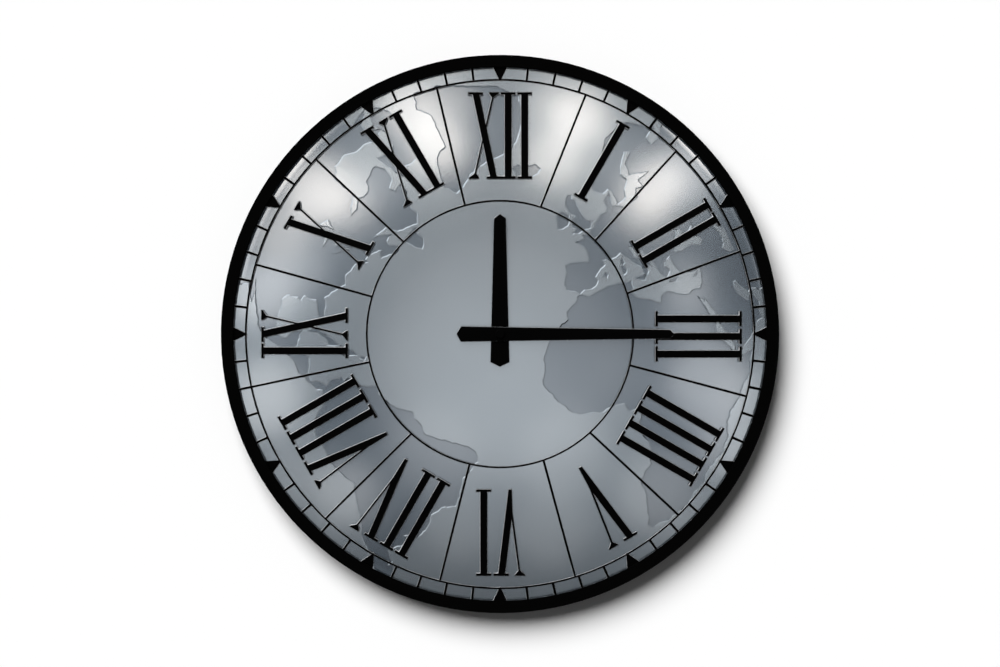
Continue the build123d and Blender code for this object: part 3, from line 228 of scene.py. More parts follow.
def keep_finish(name, material, sockets):
    """Ends a material's graph in the surface shader and keeps it as the finish of that name."""
    tree = material.node_tree
    shader = add_node(tree, "ShaderNodeBsdfPrincipled", sockets)
    add_node(tree, "ShaderNodeOutputMaterial", {"Surface": shader.outputs["BSDF"]})
    finishes[name] = material


print("colour 808080 is", round(linear("808080")[0], 3), "in linear light")

# %% [markdown]
# ## What all worked surfaces share
# Whatever a surface is made of, three things keep it from looking flat: its tone wanders between two close
# colours, its gloss wanders a little too, and its skin stands in relief. One function adds these three to a
# graph. The patterns that drive them differ from finish to finish.

# %% Worked surface
GLOSS_DRIFT = 0.06


def worked_surface(tree, tones, dark, light, skin, depth, shine, roughness, drift=GLOSS_DRIFT):
    """Shader sockets for two tones, a relief with a depth in millimetres, and a gloss that drifts."""
    sockets = {0: tones, 6: linear(dark), 7: linear(light)}
    colour = add_node(tree, "ShaderNodeMix", sockets, data_type="RGBA").outputs[2]
    sockets = {"Value": shine, "To Min": roughness - drift, "To Max": roughness + drift}
    gloss = add_node(tree, "ShaderNodeMapRange", sockets).outputs["Result"]
    sockets = {"Height": skin, "Distance": depth * MM, "Strength": 1.0}
    relief = add_node(tree, "ShaderNodeBump", sockets).outputs["Normal"]
    return {"Base Color": colour, "Roughness": gloss, "Normal": relief}


print("roughness drifts by", GLOSS_DRIFT, "unless a finish says otherwise")

# %% [markdown]
# ## Finishes without a direction
# Powder coat, lacquer, rubber and moulded plastic have no grain direction. Each has slow patches where the
# tone drifts, and a fine skin: the orange peel of a coat or the spark-eroded texture of a mould. One function
# makes them all from real sizes in millimetres.

# %% Coats, rubber and plastics
def coated(name, dark, light, patch, grain, depth, roughness, specular, metallic=0.0):
    """Finish with tone patches and a fine grain, both in millimetres across, and a grain depth."""
    material, tree = empty_material(name)
    place = add_node(tree, "ShaderNodeTexCoord", {}).outputs["Object"]
    sockets = {"Vector": place, "Scale": 1 / (patch * MM), "Detail": 3}
    patches = add_node(tree, "ShaderNodeTexNoise", sockets).outputs["Fac"]
    sockets = {"Vector": place, "Scale": 1 / (grain * MM), "Detail": 2}
    skin = add_node(tree, "ShaderNodeTexNoise", sockets).outputs["Fac"]
    look = worked_surface(tree, patches, dark, light, skin, depth, skin, roughness)
    keep_finish(name, material, look | {"Specular IOR Level": specular, "Metallic": metallic})


# Dead matt black powder coat: it returns almost nothing when looked at straight on
coated("black_powder_coat", "010101", "030303", 30, 0.9, 0.012, 0.5, 0.01)
# Textured dark grey coat on the pressed pan: a coarser skin that scatters a soft sheen
coated("rear_grey_coat", "2B2C2E", "37383A", 25, 0.8, 0.03, 0.5, 0.4)
# Matt black lacquer on thin sheet: the same black, a little smoother
coated("dial_black", "010101", "030303", 20, 1.2, 0.004, 0.45, 0.01)
coated("hand_black", "010101", "030303", 20, 1.2, 0.004, 0.45, 0.01)
# Lacquer draws back from a cut edge, so bare aluminium shows there as a thin bright line
coated("cut_edge", "B2B4B6", "C6C8CA", 4, 0.5, 0.002, 0.26, 0.3, 1.0)
# Moulded rubber: a dull dark grey that scatters what little it returns
coated("gasket_rubber", "151515", "222222", 6, 0.5, 0.02, 0.75, 0.3)
# Black ABS from a spark-eroded mould: an even, fine-textured dark grey
coated("movement_plastic", "1E1E1F", "28282A", 14, 0.45, 0.025, 0.5, 0.5)
# Dark grey ABS of the setting knob: smoother than the case, so its knurl shows
coated("knob_plastic", "3A3A3C", "48484B", 5, 0.4, 0.01, 0.42, 0.5)
# Natural acetal of the wheels: milky white, waxy
coated("gear_plastic", "DAD7CB", "EAE8DE", 6, 0.3, 0.004, 0.38, 0.5)
# Black epoxy drop over the chip: glossy where it flowed
coated("chip_epoxy", "0B0B0C", "161617", 2, 0.6, 0.006, 0.22, 0.5)
# Paper laminate board: light brown with darker fibres
coated("board_laminate", "8A6234", "B58A52", 1.5, 0.3, 0.006, 0.5, 0.4)
print("finishes without a direction:", len(finishes))

# %% [markdown]
# ## Finishes with a direction
# Turned brass, ground steel, drawn cans and wound wire show lines: the track of a tool, or the wire itself. A
# wave texture draws them, as rings about the arbor axis where the part was turned and as bands where it was
# drawn or wound. Real tool marks are about 0.05 mm apart, too fine to show here, so they are drawn 0.25 mm
# apart.

# %% Metals and wire
WAVE_PERIOD = 2 * pi / 20
WAVER = 0.6
METAL_PATCH = 3 * MM


def lined(name, dark, light, spacing, depth, roughness, metallic, axis, rings=False):
    """Finish with lines a spacing apart in millimetres: rings about an axis, or bands along it."""
    material, tree = empty_material(name)
    place = add_node(tree, "ShaderNodeTexCoord", {}).outputs["Object"]
    settings = {"wave_type": "RINGS", "rings_direction": axis} if rings else {"bands_direction": axis}
    sockets = {"Vector": place, "Scale": WAVE_PERIOD / (spacing * MM), "Distortion": WAVER, "Detail": 2}
    lines = add_node(tree, "ShaderNodeTexWave", sockets, **settings).outputs["Fac"]
    sockets = {"Vector": place, "Scale": 1 / METAL_PATCH, "Detail": 3}
    patches = add_node(tree, "ShaderNodeTexNoise", sockets).outputs["Fac"]
    look = worked_surface(tree, patches, dark, light, lines, depth, patches, roughness)
    keep_finish(name, material, look | {"Metallic": metallic})


# Turned brass: warm yellow with fine rings
lined("brass", "B8934A", "D9B868", 0.25, 0.004, 0.26, 1.0, "Y", rings=True)
# Ground steel of the clutch spring
lined("arbor_steel", "A9A9AB", "C6C6C8", 0.25, 0.003, 0.28, 1.0, "Y", rings=True)
# Blackened screw steel: dark, with a trace of metal
lined("screw_steel", "3E3E40", "58585B", 0.25, 0.003, 0.38, 1.0, "X")
# Nickel-plated spring strip: bright, rolled along its length
lined("contact_nickel", "BDB9AF", "D8D4CA", 0.3, 0.003, 0.24, 1.0, "Z")
# Drawn can of the quartz crystal
lined("crystal_can", "B4B4B4", "CFCFCF", 0.25, 0.002, 0.25, 1.0, "X")
# Stamped soft iron of the motor
lined("motor_iron", "7A7A7C", "98989B", 0.3, 0.004, 0.42, 1.0, "X")
# Enamelled copper wire, one band for each turn of about 0.2 mm, drawn as 0.3 mm
lined("coil_copper", "A8552A", "CC7742", 0.3, 0.05, 0.3, 0.9, "Z")
print("finishes so far:", len(finishes))

# %% [markdown]
# ## Satin anodised aluminium
# The land and the sea are the same metal in two greys. Blasting before anodising leaves a skin of tiny pits
# that blurs every reflection, so the dome shows soft pools of light and no sharp image. The film on top holds
# the grey dye. It is sealed and smoother than the metal below, so it adds a gloss of its own that is the same
# over land and sea: that is the coat here, and it is why the map fades inside the brightest pools. The pits
# are about 0.1 mm across and are drawn at 0.7 mm, very shallow.

# %% Dial metals
DYE_PATCH = 70 * MM
PIT = 0.7 * MM
PIT_DEPTH = 0.0003
PIT_DRIFT = 0.004
METAL_SHARE = 0.9
METAL_ROUGHNESS = 0.27
FILM_ROUGHNESS = 0.13
FILM_IOR = 1.9


def anodised(name, dark, light):
    """Blasted and dyed aluminium: slow tone drift, a fine pitted skin and a clear film with its own gloss."""
    material, tree = empty_material(name)
    place = add_node(tree, "ShaderNodeTexCoord", {}).outputs["Object"]
    sockets = {"Vector": place, "Scale": 1 / DYE_PATCH, "Detail": 4}
    dye = add_node(tree, "ShaderNodeTexNoise", sockets).outputs["Fac"]
    sockets = {"Vector": place, "Scale": 1 / PIT, "Detail": 2}
    pits = add_node(tree, "ShaderNodeTexNoise", sockets).outputs["Fac"]
    look = worked_surface(tree, dye, dark, light, pits, PIT_DEPTH, pits, METAL_ROUGHNESS, PIT_DRIFT)
    film = {"Coat Weight": 1.0, "Coat Roughness": FILM_ROUGHNESS, "Coat IOR": FILM_IOR}
    keep_finish(name, material, look | film | {"Metallic": METAL_SHARE})


anodised("dial_sea", "79838C", "879199")
anodised("dial_land", "57636E", "646F7A")
print("dial metals: dial_sea, dial_land")

# %% [markdown]
# ## The battery's film jacket
# A round cell wears a printed film that is shrunk over its ends. The print is left plain here: a dark band
# over most of the length and a light metal collar towards the button end. A step in the X coordinate, along
# the cell, divides the two. Every CAD node then gets the finish that the record names for it.

# %% Battery jacket
COLLAR_SHARE = 0.22
SCUFF = 4 * MM


def film_jacket():
    """Plain dark film with a light collar next to the button of the cell."""
    low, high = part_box("battery")
    collar = high.x - COLLAR_SHARE * (high.x - low.x)
    material, tree = empty_material("battery_jacket")
    place = add_node(tree, "ShaderNodeTexCoord", {}).outputs["Object"]
    along = add_node(tree, "ShaderNodeSeparateXYZ", {"Vector": place}).outputs["X"]
    past = add_node(tree, "ShaderNodeMath", {0: along, 1: collar}, operation="GREATER_THAN").outputs["Value"]
    sockets = {0: past, 6: linear("2A3138"), 7: linear("B9A477")}
    colour = add_node(tree, "ShaderNodeMix", sockets, data_type="RGBA").outputs[2]
    sockets = {"Value": past, "To Min": 0.1, "To Max": 0.9}
    metal = add_node(tree, "ShaderNodeMapRange", sockets).outputs["Result"]
    scuffs = add_node(tree, "ShaderNodeTexNoise", {"Vector": place, "Scale": 1 / SCUFF, "Detail": 4})
    sockets = {"Value": scuffs.outputs["Fac"], "To Min": 0.24, "To Max": 0.4}
    gloss = add_node(tree, "ShaderNodeMapRange", sockets).outputs["Result"]
    sockets = {"Base Color": colour, "Metallic": metal, "Roughness": gloss}
    keep_finish("battery_jacket", material, sockets)


film_jacket()
for subpart in frame["record"]["subparts"]:
    nodes[subpart["node"]].data.materials[0] = finishes[subpart["material_slot"]]
print("every CAD node has one of", len(finishes), "finishes")

# %% [markdown]
# ## The land: a domed plate
# The plate that shows as land is spun from sheet. It could be a slice of a ball, but rings of quads give the
# cleanest reflections: a circle is drawn at the plate's rim and extruded inwards ring by ring down to the
# arbor hole. Each ring is then lifted to the height of the dome, and the sheet gets its thickness.

# %% Dial plate
RING_STEP = 5 * MM
ROUND_SEGMENTS = 256
PLATE_THICK = 0.8 * MM
CREASE = 35
dial_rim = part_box("dial_plate")[1].x
arbor_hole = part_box("mounting_bush")[1].x


def lift_to_dome(piece):
    """Bends a flat sheet over the dome. A point's height above the flat becomes its lift above the ball."""
    for vertex in piece.data.vertices:
        radius = Vector((vertex.co.x, vertex.co.z)).length
        if radius <= DOME_BASE:
            vertex.co.y = dome_front(radius, -vertex.co.y)
        else:
            vertex.co.y -= MARGIN_FRONT


def domed_plate():
    """Ring-by-ring sheet from the rim to the arbor hole."""
    bpy.ops.mesh.primitive_circle_add(vertices=ROUND_SEGMENTS, radius=dial_rim, rotation=(pi / 2, 0, 0))
    piece = placed("domed_dial")
    rings = int((DOME_BASE - arbor_hole) / RING_STEP)
    radii = [DOME_BASE - (DOME_BASE - arbor_hole) * i / rings for i in range(rings + 1)]
    edit(piece)
    for outer, inner in zip([dial_rim] + radii, radii):
        bpy.ops.mesh.extrude_edges_move()
        share = inner / outer
        bpy.ops.transform.resize(value=(share, share, share), center_override=(0, 0, 0))
    close()
    lift_to_dome(piece)
    edit(piece)
    bpy.ops.mesh.normals_make_consistent(inside=False)
    close()
    if piece.data.polygons[0].normal.y > 0:
        edit(piece)
        bpy.ops.mesh.flip_normals()
        close()
    apply_modifier(piece, "SOLIDIFY", thickness=PLATE_THICK, offset=-1)
    smooth(piece, CREASE)
    piece.data.materials.append(finishes["dial_land"])
    stand_in(piece, "case", "dial_land", "dial_plate")


domed_plate()

# %% [markdown]
# ## The sea: small bays and capes
# The sea is a second sheet with the land cut out of it, so its coasts are real edges that catch the light.
# The CAD gives the coasts as plain runs. Here they get their small bays and capes: long runs of coast are
# divided and shaken a little, three times over at a smaller size each time. A point that has another coast
# close by is moved less, so that straits stay open.

# %% Coasts
COAST_SHAKES = ((7 * MM, 0.7 * MM, 3), (3.6 * MM, 0.45 * MM, 5), (1.9 * MM, 0.25 * MM, 8))
WEAKEST_SHAKE = 0.4
ROOM_SHARE = 0.25
OPEN_ROOM = 5 * MM
NEIGHBOURS = 40
RIM_CLEAR = 1.5 * MM
HUB_CLEAR = 4 * MM
sea_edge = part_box("sea_overlay")[1].x


def is_coast(edge):
    """True for an edge of the sheet that is neither its round rim nor the hole at the arbor."""
    ends = [Vector((v.co.x, v.co.z)).length for v in edge.verts]
    return edge.is_boundary and max(ends) < sea_edge - RIM_CLEAR and min(ends) > arbor_hole + HUB_CLEAR


def room_to_move(edges):
    """For each point of some edges, how far it is from the nearest of them that isn't its neighbour."""
    tree = KDTree(3 * len(edges))
    for i, edge in enumerate(edges):
        for share in (0.0, 0.5, 1.0):
            tree.insert(edge.verts[0].co.lerp(edge.verts[1].co, share), i)
    tree.balance()
    room = {}
    for point in {vertex for edge in edges for vertex in edge.verts}:
        own = {edge for side in point.link_edges for end in side.verts for edge in end.link_edges}
        near = [gap for _, i, gap in tree.find_n(point.co, NEIGHBOURS) if edges[i] not in own]
        room[point] = near[0] if near else OPEN_ROOM
    return room


def shake_coasts(piece):
    """Divides the open sheet's long coast runs and moves their points, coarse bays first."""
    for length, shift, seed in COAST_SHAKES:
        pick(piece, "EDGE", lambda edge: is_coast(edge) and edge.calc_length() > length)
        bpy.ops.mesh.subdivide(number_cuts=1)
        dice = Random(seed)
        mesh = bmesh.from_edit_mesh(piece.data)
        room = room_to_move([edge for edge in mesh.edges if is_coast(edge)])
        for point in sorted(room, key=lambda vertex: tuple(vertex.co)):
            turn = dice.uniform(0, 2 * pi)
            shift_here = dice.uniform(WEAKEST_SHAKE, 1.0) * min(shift, room[point] * ROOM_SHARE)
            point.co += Vector((sin(turn), 0, cos(turn))) * shift_here
        bmesh.update_edit_mesh(piece.data)


print("coasts are shaken", len(COAST_SHAKES), "times, inside a radius of", round(sea_edge, 4))

# %% [markdown]
# ## The sea: a flat sheet
# A copy of the CAD sheet loses all but its front, which is laid flat. Its coasts are shaken, its inner edges
# go, and the outline is filled anew, so that the sheet has one clean front. It stays open in edit mode for
# the next step.

# %% Sea outline
FRONT_FACING = -0.9
FLAT = radians(0.5)
SHORTEST_RUN = 0.5 * MM


def all_selected(tool, **settings):
    """Runs an edit mode tool on the whole of the open piece."""
    bpy.ops.mesh.select_all(action="SELECT")
    tool(**settings)


def sea_outline():
    """Flat sheet in the CAD sheet's outline, with finer coasts and its front towards -Y, left open."""
    piece = copy_of("sea_overlay", "sea_sheet")
    edit(piece)
    pick(piece, "FACE", lambda face: face.normal.y > FRONT_FACING)
    bpy.ops.mesh.delete(type="FACE")
    all_selected(bpy.ops.transform.resize, value=(1, 0, 1), center_override=(0, 0, 0))
    bpy.ops.mesh.dissolve_limited(angle_limit=FLAT)
    shake_coasts(piece)
    pick(piece, "EDGE", lambda edge: not edge.is_boundary)
    bpy.ops.mesh.delete(type="EDGE")
    all_selected(bpy.ops.mesh.dissolve_degenerate, threshold=SHORTEST_RUN)
    all_selected(bpy.ops.mesh.fill)
    all_selected(bpy.ops.mesh.dissolve_limited, angle_limit=FLAT)
    all_selected(bpy.ops.mesh.delete_loose)
    pick(piece, "FACE", lambda face: face.normal.y > 0)
    bpy.ops.mesh.flip_normals()
    return piece


sea = sea_outline()
print("flat sea:", len(bmesh.from_edit_mesh(sea.data).verts), "points")

# %% [markdown]
# ## The rim of the sea
# The coasts are coined: a sloping rim runs along every cut, and it draws a light line where it faces the
# light and a dark one where it faces away. An inset of next to nothing gives each coast a second line of
# points. They are then drawn inwards to the width of the rim, less in straits and tight bays, where two rims
# would meet, and less again wherever the inner line would fold over itself.

# %% Sea rim
SEA_RIM = 0.6 * MM
RIM_SHARE = 0.3
LONGEST_MITRE = 1.6
HAIR = 0.01 * MM
HAIR_REACH = 20 * HAIR
SHORTEST_INNER_RUN = 0.15
EASE_BACK = 0.75
EASE_ROUNDS = 40


def inner_points(mesh):
    """For each point on the sheet's outline, the point that the inset made for it."""
    pairs = {}
    for edge in mesh.edges:
        rims = [any(side.is_boundary for side in end.link_edges) for end in edge.verts]
        if not edge.is_boundary and sum(rims) == 1 and edge.calc_length() < HAIR_REACH:
            pairs[edge.verts[rims.index(True)]] = edge.verts[rims.index(False)]
    return pairs


def folded_points(outline, ways, width):
    """Ends of the outline's edges whose inner run would turn round or shrink to next to nothing."""
    folded = set()
    for edge in outline:
        a, b = edge.verts
        if a in width and b in width:
            run = b.co - a.co
            inner_run = run + ways[b] * width[b] - ways[a] * width[a]
            if inner_run.dot(run) < SHORTEST_INNER_RUN * run.dot(run):
                folded.update((a, b))
    return folded


def draw_in_rim(piece):
    """Moves the inner line of the open sheet's rim inwards, and holds back where it would fold."""
    mesh = bmesh.from_edit_mesh(piece.data)
    outline = [edge for edge in mesh.edges if edge.is_boundary]
    pairs = inner_points(mesh)
    room = room_to_move(outline)
    ways = {point: (inner.co - point.co) / HAIR for point, inner in pairs.items()}
    for point, way in ways.items():
        ways[point] = way * min(1.0, LONGEST_MITRE / way.length)
    width = {point: min(SEA_RIM, RIM_SHARE * room[point]) for point in pairs}
    for _ in range(EASE_ROUNDS):
        folded = folded_points(outline, ways, width)
        for point in folded:
            width[point] *= EASE_BACK
        if not folded:
            break
    for point, inner in pairs.items():
        inner.co = point.co + ways[point] * width[point]
    bmesh.update_edit_mesh(piece.data)
    return len(pairs)


all_selected(bpy.ops.mesh.inset, thickness=HAIR, use_boundary=True, use_even_offset=True)
print("rim points", draw_in_rim(sea))

# %% [markdown]
# ## The sea: thickness and bend
# The flat sheet is raised to its height over the land and gets its thickness, and the outer line of its rim
# is pressed down. A grid of cuts every 5 mm lets the sheet bend, and it is lifted over the dome.

# %% Sea bend
SEA_LIFT = 0.85 * MM
SEA_THICK = 0.8 * MM
RIM_DROP = 0.3 * MM
WALL_TILT = 0.3
BEND_STEP = 5 * MM
COAST_CREASE = 15


def is_front_rim(vertex):
    """True for a point where the front of a flat sheet meets its side wall."""
    turns = [face.normal.y for face in vertex.link_faces]
    return min(turns) < FRONT_FACING and any(abs(turn) < WALL_TILT for turn in turns)


def cut_for_bending():
    """Cuts the open piece along a square grid."""
    steps = int(sea_edge / BEND_STEP)
    for i in range(-steps, steps + 1):
        for side in ((1, 0, 0), (0, 0, 1)):
            place = [i * BEND_STEP * share for share in side]
            all_selected(bpy.ops.mesh.bisect, plane_co=place, plane_no=side)


all_selected(bpy.ops.transform.translate, value=(0, -SEA_LIFT, 0))
close()
apply_modifier(sea, "SOLIDIFY", thickness=SEA_THICK, offset=-1)
edit(sea)
pick(sea, "VERT", is_front_rim)
bpy.ops.transform.translate(value=(0, RIM_DROP, 0))
cut_for_bending()
close()
lift_to_dome(sea)
smooth(sea, COAST_CREASE)
stand_in(sea, "case", "dial_sea", "sea_overlay")

# %% [markdown]
# ## Eased edges on the black fittings and the hands
# These pieces keep their CAD form: a merged copy loses the extra edges inside its flat faces, and a narrow
# bevel breaks what is left. On the sheet pieces the bevel is one plain chamfer in bare metal, the cut edge,
# which catches the light from the upper left. Without it, the black parts would look like holes. Weighted
# normals then keep the large faces flat beside their narrow bevels.

# %% Black fittings and hands
IN_ONE_FACE = radians(1)


def eased(node, body, slot, width, edge=None):
    """Stand-in for a CAD node with edges broken by a width in millimetres, in an edge finish if given."""
    piece = copy_of(node, node + "_eased")
    edit(piece)
    bpy.ops.mesh.dissolve_limited(angle_limit=IN_ONE_FACE)
    close()
    settings = {"limit_method": "ANGLE", "angle_limit": radians(CREASE), "use_clamp_overlap": False}
    if edge:
        piece.data.materials.append(finishes[edge])
        settings |= {"segments": 1, "material": 1}
    else:
        settings["segments"] = 2
    apply_modifier(piece, "BEVEL", width=width * MM, **settings)
    smooth(piece, CREASE)
    apply_modifier(piece, "WEIGHTED_NORMAL", keep_sharp=True)
    stand_in(piece, body, slot, node)


for hour in range(1, 13):
    eased(f"numeral_{hour}", "case", "dial_black", 0.25, edge="cut_edge")
eased("dial_fret", "case", "dial_black", 0.1, edge="cut_edge")
eased("hour_hand", "hour", "hand_black", 0.16, edge="cut_edge")
eased("minute_hand", "minute", "hand_black", 0.16, edge="cut_edge")
eased("hand_nut", "minute", "hand_black", 0.12)

# %% [markdown]
# ## The back: pan, movement and fixing
# The back shows through the round window of the pan: the moulded movement, its setting knob and the battery
# bay. Pressed steel has a radius on every bend and a mould leaves one on every edge, so these get wider,
# rounder bevels.

# %% Back pieces
eased("rear_case", "case", "rear_grey_coat", 0.25)
eased("movement_case", "case", "movement_plastic", 0.3)
eased("movement_cover", "case", "movement_plastic", 0.3)
eased("setting_knob", "setting", "knob_plastic", 0.15)
eased("hex_nut", "case", "brass", 0.15)
eased("brass_washer", "case", "brass", 0.1)
eased("rubber_washer", "case", "gasket_rubber", 0.3)
eased("case_screws", "case", "screw_steel", 0.06)

# %% [markdown]
# ## The battery
# A round cell is a can with a button at one end and a flat plate at the other, under a film that folds over
# both rims. It starts as a cylinder on its side. Each end is inset and pushed in to leave the fold of the
# film, then inset again and pulled out for the button or the plate.

# %% Battery
CELL_SIDES = 64
CELL_CREASE = 40
END_FACING = 0.99
BUTTON_RADIUS = 2.75 * MM
BUTTON_HEIGHT = 1.2 * MM
PLATE_RADIUS = 4.5 * MM
FILM_FOLD = 1.1 * MM
FILM_DEPTH = 0.25 * MM
FILM_ROUND = 0.2 * MM


def end_of_cell(piece, side, inner_radius, radius, out):
    """Folds the film at one end of the open cell and pulls out its button or plate."""
    pick(piece, "FACE", lambda face: face.normal.x * side > END_FACING)
    bpy.ops.mesh.inset(thickness=FILM_FOLD)
    bpy.ops.mesh.extrude_region_move(TRANSFORM_OT_translate={"value": (-side * FILM_DEPTH, 0, 0)})
    bpy.ops.mesh.inset(thickness=radius - FILM_FOLD - inner_radius)
    bpy.ops.mesh.extrude_region_move(TRANSFORM_OT_translate={"value": (side * (out + FILM_DEPTH), 0, 0)})


def film_cell():
    """Round cell on its side in the movement's bay."""
    low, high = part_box("battery")
    radius = (high.z - low.z) / 2
    length = high.x - low.x - BUTTON_HEIGHT
    place = (low.x + length / 2, (low.y + high.y) / 2, (low.z + high.z) / 2)
    bpy.ops.mesh.primitive_cylinder_add(
        vertices=CELL_SIDES, radius=radius, depth=length, location=place, rotation=(0, pi / 2, 0))
    piece = placed("round_cell")
    edit(piece)
    end_of_cell(piece, 1, BUTTON_RADIUS, radius, BUTTON_HEIGHT)
    end_of_cell(piece, -1, PLATE_RADIUS, radius, 0.0)
    close()
    settings = {"limit_method": "ANGLE", "angle_limit": radians(CELL_CREASE)}
    apply_modifier(piece, "BEVEL", width=FILM_ROUND, segments=3, **settings)
    smooth(piece, CELL_CREASE)
    piece.data.materials.append(finishes["battery_jacket"])
    stand_in(piece, "case", "battery_jacket", "battery")


film_cell()

# %% [markdown]
# ## Camera
# The photo is taken from straight in front, so the case is a true circle and no side of it shows. A long lens
# from 3 m does that. Its focal length follows from the size of one pixel at the bezel's front: the frame is
# 1000 pixels wide and one pixel is 0.546 mm there.

# %% Camera
FRAME_WIDTH = 1000
PIXEL = 0.5462 * MM
CAMERA_DISTANCE = 3.0
CAMERA_RISE = 0.5 * PIXEL
SENSOR = 36
bezel_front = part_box("bezel")[0].y
camera_place = Vector((0, -CAMERA_DISTANCE, CAMERA_RISE))
bpy.ops.object.camera_add(location=camera_place, rotation=(pi / 2, 0, 0))
camera = bpy.context.object
camera.data.sensor_width = SENSOR
camera.data.lens = SENSOR * (CAMERA_DISTANCE + bezel_front) / (FRAME_WIDTH * PIXEL)
bpy.context.scene.camera = camera
bpy.context.scene.view_settings.view_transform = "Standard"
print("lens", round(camera.data.lens, 1), "mm")

# %% [markdown]
# ## The wall
# The clock hangs on a plain white wall, which takes the place of a floor. It is a matt white plane that keeps
# the clock's shadow. Seen from behind it is clear, so that the back of the clock can be looked at, and it
# doesn't stop the light that falls on the back. It isn't mirrored either: the clock shades the wall behind
# it, and that shade would blacken the coat of the pan.

# %% Wall
WALL_SIZE = 8
WALL_GAP = 0.3 * MM


def white_wall():
    """Matt white wall, clear from behind."""
    bpy.ops.mesh.primitive_plane_add(size=WALL_SIZE, location=(0, WALL_GAP, 0), rotation=(pi / 2, 0, 0))
    wall = placed("wall")
    material, tree = empty_material("white_wall")
    paint = add_node(tree, "ShaderNodeBsdfDiffuse", {"Color": linear("F4F4F4")})
    clear = add_node(tree, "ShaderNodeBsdfTransparent", {})
    side = add_node(tree, "ShaderNodeNewGeometry", {}).outputs["Backfacing"]
    both = add_node(tree, "ShaderNodeMixShader", {0: side, 1: paint.outputs[0], 2: clear.outputs[0]})
    add_node(tree, "ShaderNodeOutputMaterial", {"Surface": both.outputs[0]})
    wall.data.materials.append(material)
    wall.visible_shadow = False
    wall.visible_diffuse = False
    wall.visible_glossy = False
    print("wall", WALL_SIZE, "m wide")


white_wall()

# %% [markdown]
# ## The world
# A product photo is taken in a white room that metal and gloss can mirror, while the lamps do the lighting.
# So the world is white where it is looked at, directly or in a reflection, and only a weak fill where it
# lights a matt surface. The weak fill is what keeps the shadow on the wall deep.

# %% World
FILL = 0.08
world = bpy.data.worlds.new("studio")
bpy.context.scene.world = world
world.use_nodes = True
studio = world.node_tree
path = add_node(studio, "ShaderNodeLightPath", {}).outputs
sockets = {0: path["Is Camera Ray"], 1: path["Is Glossy Ray"]}
straight = add_node(studio, "ShaderNodeMath", sockets, operation="MAXIMUM").outputs[0]
sockets = {0: straight, 1: path["Is Transmission Ray"]}
looked_at = add_node(studio, "ShaderNodeMath", sockets, operation="MAXIMUM").outputs[0]
strength = add_node(studio, "ShaderNodeMapRange", {"Value": looked_at, "To Min": FILL, "To Max": 1.0})
background = studio.nodes["Background"]
background.inputs["Color"].default_value = linear("FFFFFF")
studio.links.new(strength.outputs["Result"], background.inputs["Strength"])
print("fill", FILL)

# %% [markdown]
# ## Light: how a lamp is aimed
# The dome is a curved mirror, so its light is planned backwards: for each bright pool on the dial, the ray
# from the camera is mirrored at that spot, and a round softbox stands where the ray goes. Softboxes show in
# reflections and leave matt surfaces to the suns, which in turn have no reflection.

# %% Lamp tools
POOL_DISTANCE = 2.5
ARBOR = Vector((0, 0, 0))


def mirrored_ray(angle, radius):
    """Spot of the dial at a clock angle and radius, and the direction that the camera sees mirrored in it."""
    spot = Vector((radius * sin(angle), dome_front(radius), radius * cos(angle)))
    normal = (spot - BALL_CENTRE).normalized()
    view = (camera_place - spot).normalized()
    return spot, 2 * normal.dot(view) * normal - view


def facing(direction):
    """Turn that points the front of a lamp or card back along a direction."""
    return direction.to_track_quat("Z", "Y").to_euler()


def towards(clock_angle, off_axis):
    """Direction that leaves the dial towards a clock angle, turned off its axis."""
    turn = radians(clock_angle)
    tilt = radians(off_axis)
    return Vector((sin(tilt) * sin(turn), -cos(tilt), sin(tilt) * cos(turn)))


def softbox(name, place, aim, width, radiance, tint):
    """Round softbox that faces a point. Its radiance is what a mirror of it would show."""
    bpy.ops.object.light_add(type="AREA", location=place, rotation=facing(place - aim))
    lamp = bpy.context.object
    lamp.name = name
    lamp.data.shape = "DISK"
    lamp.data.size = width
    lamp.data.energy = radiance * pi * pi * width ** 2 / 4
    lamp.data.color = linear(tint)[:3]
    lamp.visible_camera = False
    lamp.visible_diffuse = False


def pool(angle, radius, width, radiance, tint):
    """Softbox that shows as a bright pool at a clock angle and a radius in millimetres on the dial."""
    spot, ray = mirrored_ray(radians(angle), radius * MM)
    softbox(f"pool_{angle}", spot + ray * POOL_DISTANCE, spot, width, radiance, tint)


def sun(name, direction, spread, energy):
    """Sun that shines from a direction, with a spread in degrees that sets how soft its shadows are."""
    bpy.ops.object.light_add(type="SUN", rotation=facing(direction))
    lamp = bpy.context.object
    lamp.name = name
    lamp.data.angle = radians(spread)
    lamp.data.energy = energy
    lamp.visible_glossy = False


print("softboxes stand", POOL_DISTANCE, "m from the dial")

# %% [markdown]
# ## Light: lamps
# Each softbox is given by the clock angle and the radius in millimetres of its pool, its width in metres and
# its radiance. The lobes are the four bright fans round the upper dial. They are strong and a little warm, so
# that they turn the bluish metal white. The other pools are weaker and neutral, and lift the metal between
# its dark fans. The key is a broad sun from the upper left, which casts the soft shadow to the lower right.
# The window is a wide softbox far to the upper left, which the cut edges and the coasts mirror. A second sun
# lights the back.

